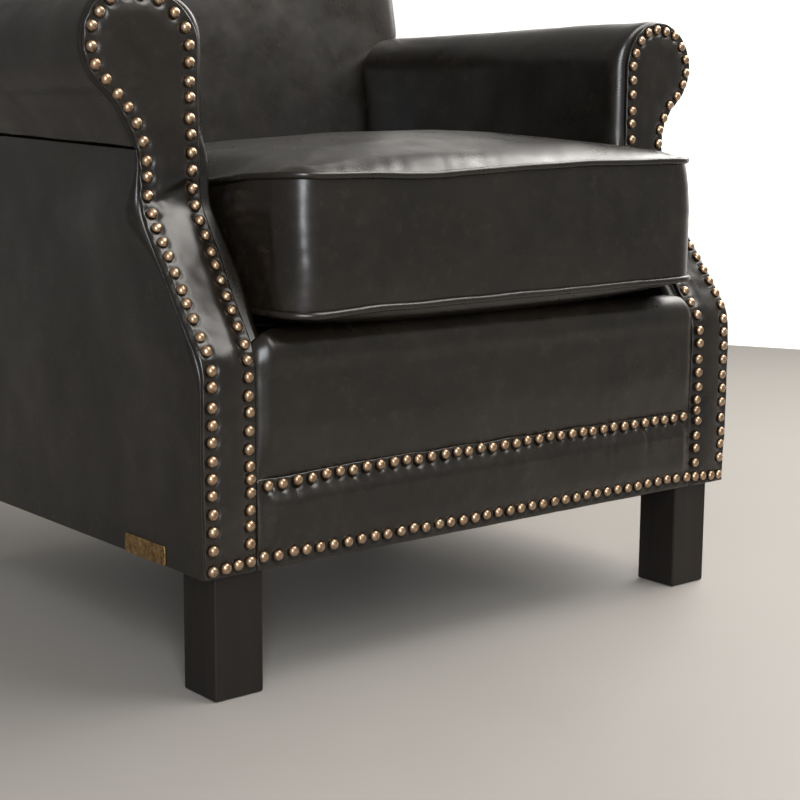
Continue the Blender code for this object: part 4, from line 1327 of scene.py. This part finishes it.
def make_dust_cover():
    """The dust cover stretched under the frame, notched round the legs, with a little sag."""
    low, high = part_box("dust_cover")
    leg_low, leg_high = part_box("leg_front_right")
    x_notch = leg_low.x - LEG_GAP
    y_front = leg_high.y + LEG_GAP
    y_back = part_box("leg_back_right")[0].y - LEG_GAP
    x = notched(low.x, -x_notch, x_notch, high.x, 40)
    y = notched(low.y, y_front, y_back, high.y, 36)
    x_mid = (x[1:] + x[:-1]) / 2
    y_mid = ((y[1:] + y[:-1]) / 2)[:, None]
    at_leg = (np.abs(x_mid) > x_notch) & ((y_mid < y_front) | (y_mid > y_back))
    x_sag, y_sag = (np.sin(math.pi * np.linspace(0, 1, len(line))) for line in (x, y))
    points = grid(x, y[:, None], (low.z + high.z) / 2 - COVER_SAG * np.outer(y_sag, x_sag))
    cover = add_sheet("dust_cover_cloth", points, ~at_leg, CLOTH, COVER_THICKNESS)
    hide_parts("dust_cover")


def make_straps():
    """Webbing straps stretched between the back posts."""
    for number in range(1, 5):
        low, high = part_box(f"back_webbing_{number}")
        z = np.linspace(low.z, high.z, 9)[:, None]
        x = np.linspace(low.x, high.x, 60)
        points = grid(x, back_y(BACK_PAD + STRAP_DEPTH, z) - STRAP_WAVE * np.cos(x * 40.0), z)
        strap = add_sheet(f"back_strap_{number}", points, np.ones((8, 59), bool), WEBBING, STRAP_THICKNESS)
        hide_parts(f"back_webbing_{number}")


def make_plate():
    """The bare brass plate: a thin sheet with rounded corners, a raised rim and a pin at each end."""
    middle = (PLATE_LOW + PLATE_HIGH) / 2
    half = (PLATE_HIGH - PLATE_LOW) / 2
    y = half.y * eased_across(72)
    z = half.z * eased_across(36)[:, None]
    squeeze = np.sqrt(1.0 - PLATE_CORNER * (y / half.y) ** 2 * (z / half.z) ** 2)
    y = y * squeeze
    z = z * squeeze
    edge = np.minimum(inside(y, -half.y, half.y), inside(z, -half.z, half.z))
    lift = PLATE_RISE - rounding(edge, PLATE_EDGE) - PLATE_HOLLOW * smooth(0.0012, 0.0020, edge)
    for pin in (-1, 1):
        near = np.hypot(y - pin * (half.y - PIN_INSET), z)
        lift = lift + PIN_HEIGHT * np.sqrt(np.clip(1.0 - (near / PIN_RADIUS) ** 2, 0.0, 1.0))
    y = y + middle.y
    z = z + middle.z
    wall = HALF + float(side_lift(np.mean(y), np.mean(z) + PLATE_SEAT, -1)) + GAP
    front = grid(-wall - lift, y, z)
    back = grid(-wall + PLATE_BACK, y, z)
    plate = pad("brass_plate_aged", front, back, BRASS)
    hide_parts("brass_plate")


def dress_frame():
    """Gives the solids that stay as they are their finish."""
    finishes = (
        ("leg_bolt", STEEL, "spring_steel"),
        ("leg", LEG_WOOD, "black_stained_wood"),
        ("seat_spring", STEEL, "spring_steel"),
        ("", FRAME_WOOD, "frame_hardwood"),
    )
    for name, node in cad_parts.items():
        if node.hide_render:
            continue
        material, slot = next((m, s) for start, m, s in finishes if name.startswith(start))
        node.data.materials.clear()
        node.data.materials.append(material)


# Stage, light and camera

def make_floor():
    form = bmesh.new()
    bmesh.ops.create_circle(form, cap_ends=True, segments=128, radius=FLOOR_RADIUS)
    mesh = bpy.data.meshes.new("floor")
    form.to_mesh(mesh)
    form.free()
    mesh.materials.append(make_floor_paint())
    floor = add_object("floor", mesh)
    floor.location.z = -FLOOR_DROP


def add_light(name, place, target, size, power, colour):
    """A soft panel of light at a place, turned to a target."""
    lamp = bpy.data.lights.new(name, "AREA")
    lamp.shape = "RECTANGLE"
    lamp.size, lamp.size_y = size
    lamp.energy = power
    lamp.color = colour
    light = add_object(name, lamp)
    light.location = place
    light.rotation_euler = (Vector(target) - Vector(place)).to_track_quat("-Z", "Y").to_euler()
    light.visible_camera = False


def make_light():
    """A pale studio: a bright wall behind to the right, a window behind the viewer and light from above."""
    world = bpy.data.worlds.new("studio")
    world.use_nodes = True
    tree = world.node_tree
    way = tree.nodes.new("ShaderNodeTexCoord").outputs["Generated"]
    towards = []
    for goal in (WALL_WAY, ROOM_WAY):
        product = add_node(tree, "ShaderNodeVectorMath", {0: way, 1: goal}, operation="DOT_PRODUCT")
        towards.append(product.outputs["Value"])
    inputs = {"Value": towards[0], "From Min": WALL_EDGE[0], "From Max": WALL_EDGE[1]}
    wall = add_node(tree, "ShaderNodeMapRange", inputs, interpolation_type="SMOOTHSTEP").outputs["Result"]
    room = spread(tree, towards[1], *ROOM_LIGHT, source=(-0.8, 0.8))
    strength = add_node(tree, "ShaderNodeMix", {"Factor": wall, "A": room, "B": WALL_LIGHT}).outputs["Result"]
    set_inputs(tree, tree.nodes["Background"], {"Color": ROOM_COLOUR, "Strength": strength})
    bpy.context.scene.world = world
    bpy.context.scene.view_settings.view_transform = "Standard"
    add_light("window", (-1.85, -2.82, 1.45), (-0.2, -0.35, 0.4), (0.8, 2.3), 80.0, (0.93, 0.96, 1.0))
    add_light("overhead_front", (0.85, -1.20, 2.4), (-0.2, -0.3, 0.4), (1.9, 1.2), 49.0, (1.0, 0.965, 0.920))
    add_light("overhead_right", (2.05, 0.10, 1.9), (0.0, -0.2, 0.45), (1.3, 1.5), 44.0, (1.0, 0.970, 0.930))


def make_camera():
    """The camera at the photograph's viewpoint."""
    lens = bpy.data.cameras.new("camera")
    lens.sensor_width = SENSOR
    lens.lens = FOCAL * SENSOR / IMAGE
    camera = add_object("camera", lens)
    camera.matrix_world = Matrix.Translation(EYE)
    for angle, axis in ((-YAW, "Z"), (math.pi / 2 - PITCH, "X"), (ROLL, "Z")):
        camera.matrix_world @= Matrix.Rotation(angle, 4, axis)
    bpy.context.scene.camera = camera


def main():
    make_camera()
    make_light()
    make_floor()
    for side, word in SIDES:
        make_facing(side, word)
        make_arm(side, word)
        make_side(side, word)
    make_band()
    make_border()
    make_inside_back()
    make_outside_back()
    make_cushion()
    make_deck()
    make_dust_cover()
    make_straps()
    make_plate()
    dress_frame()


main()
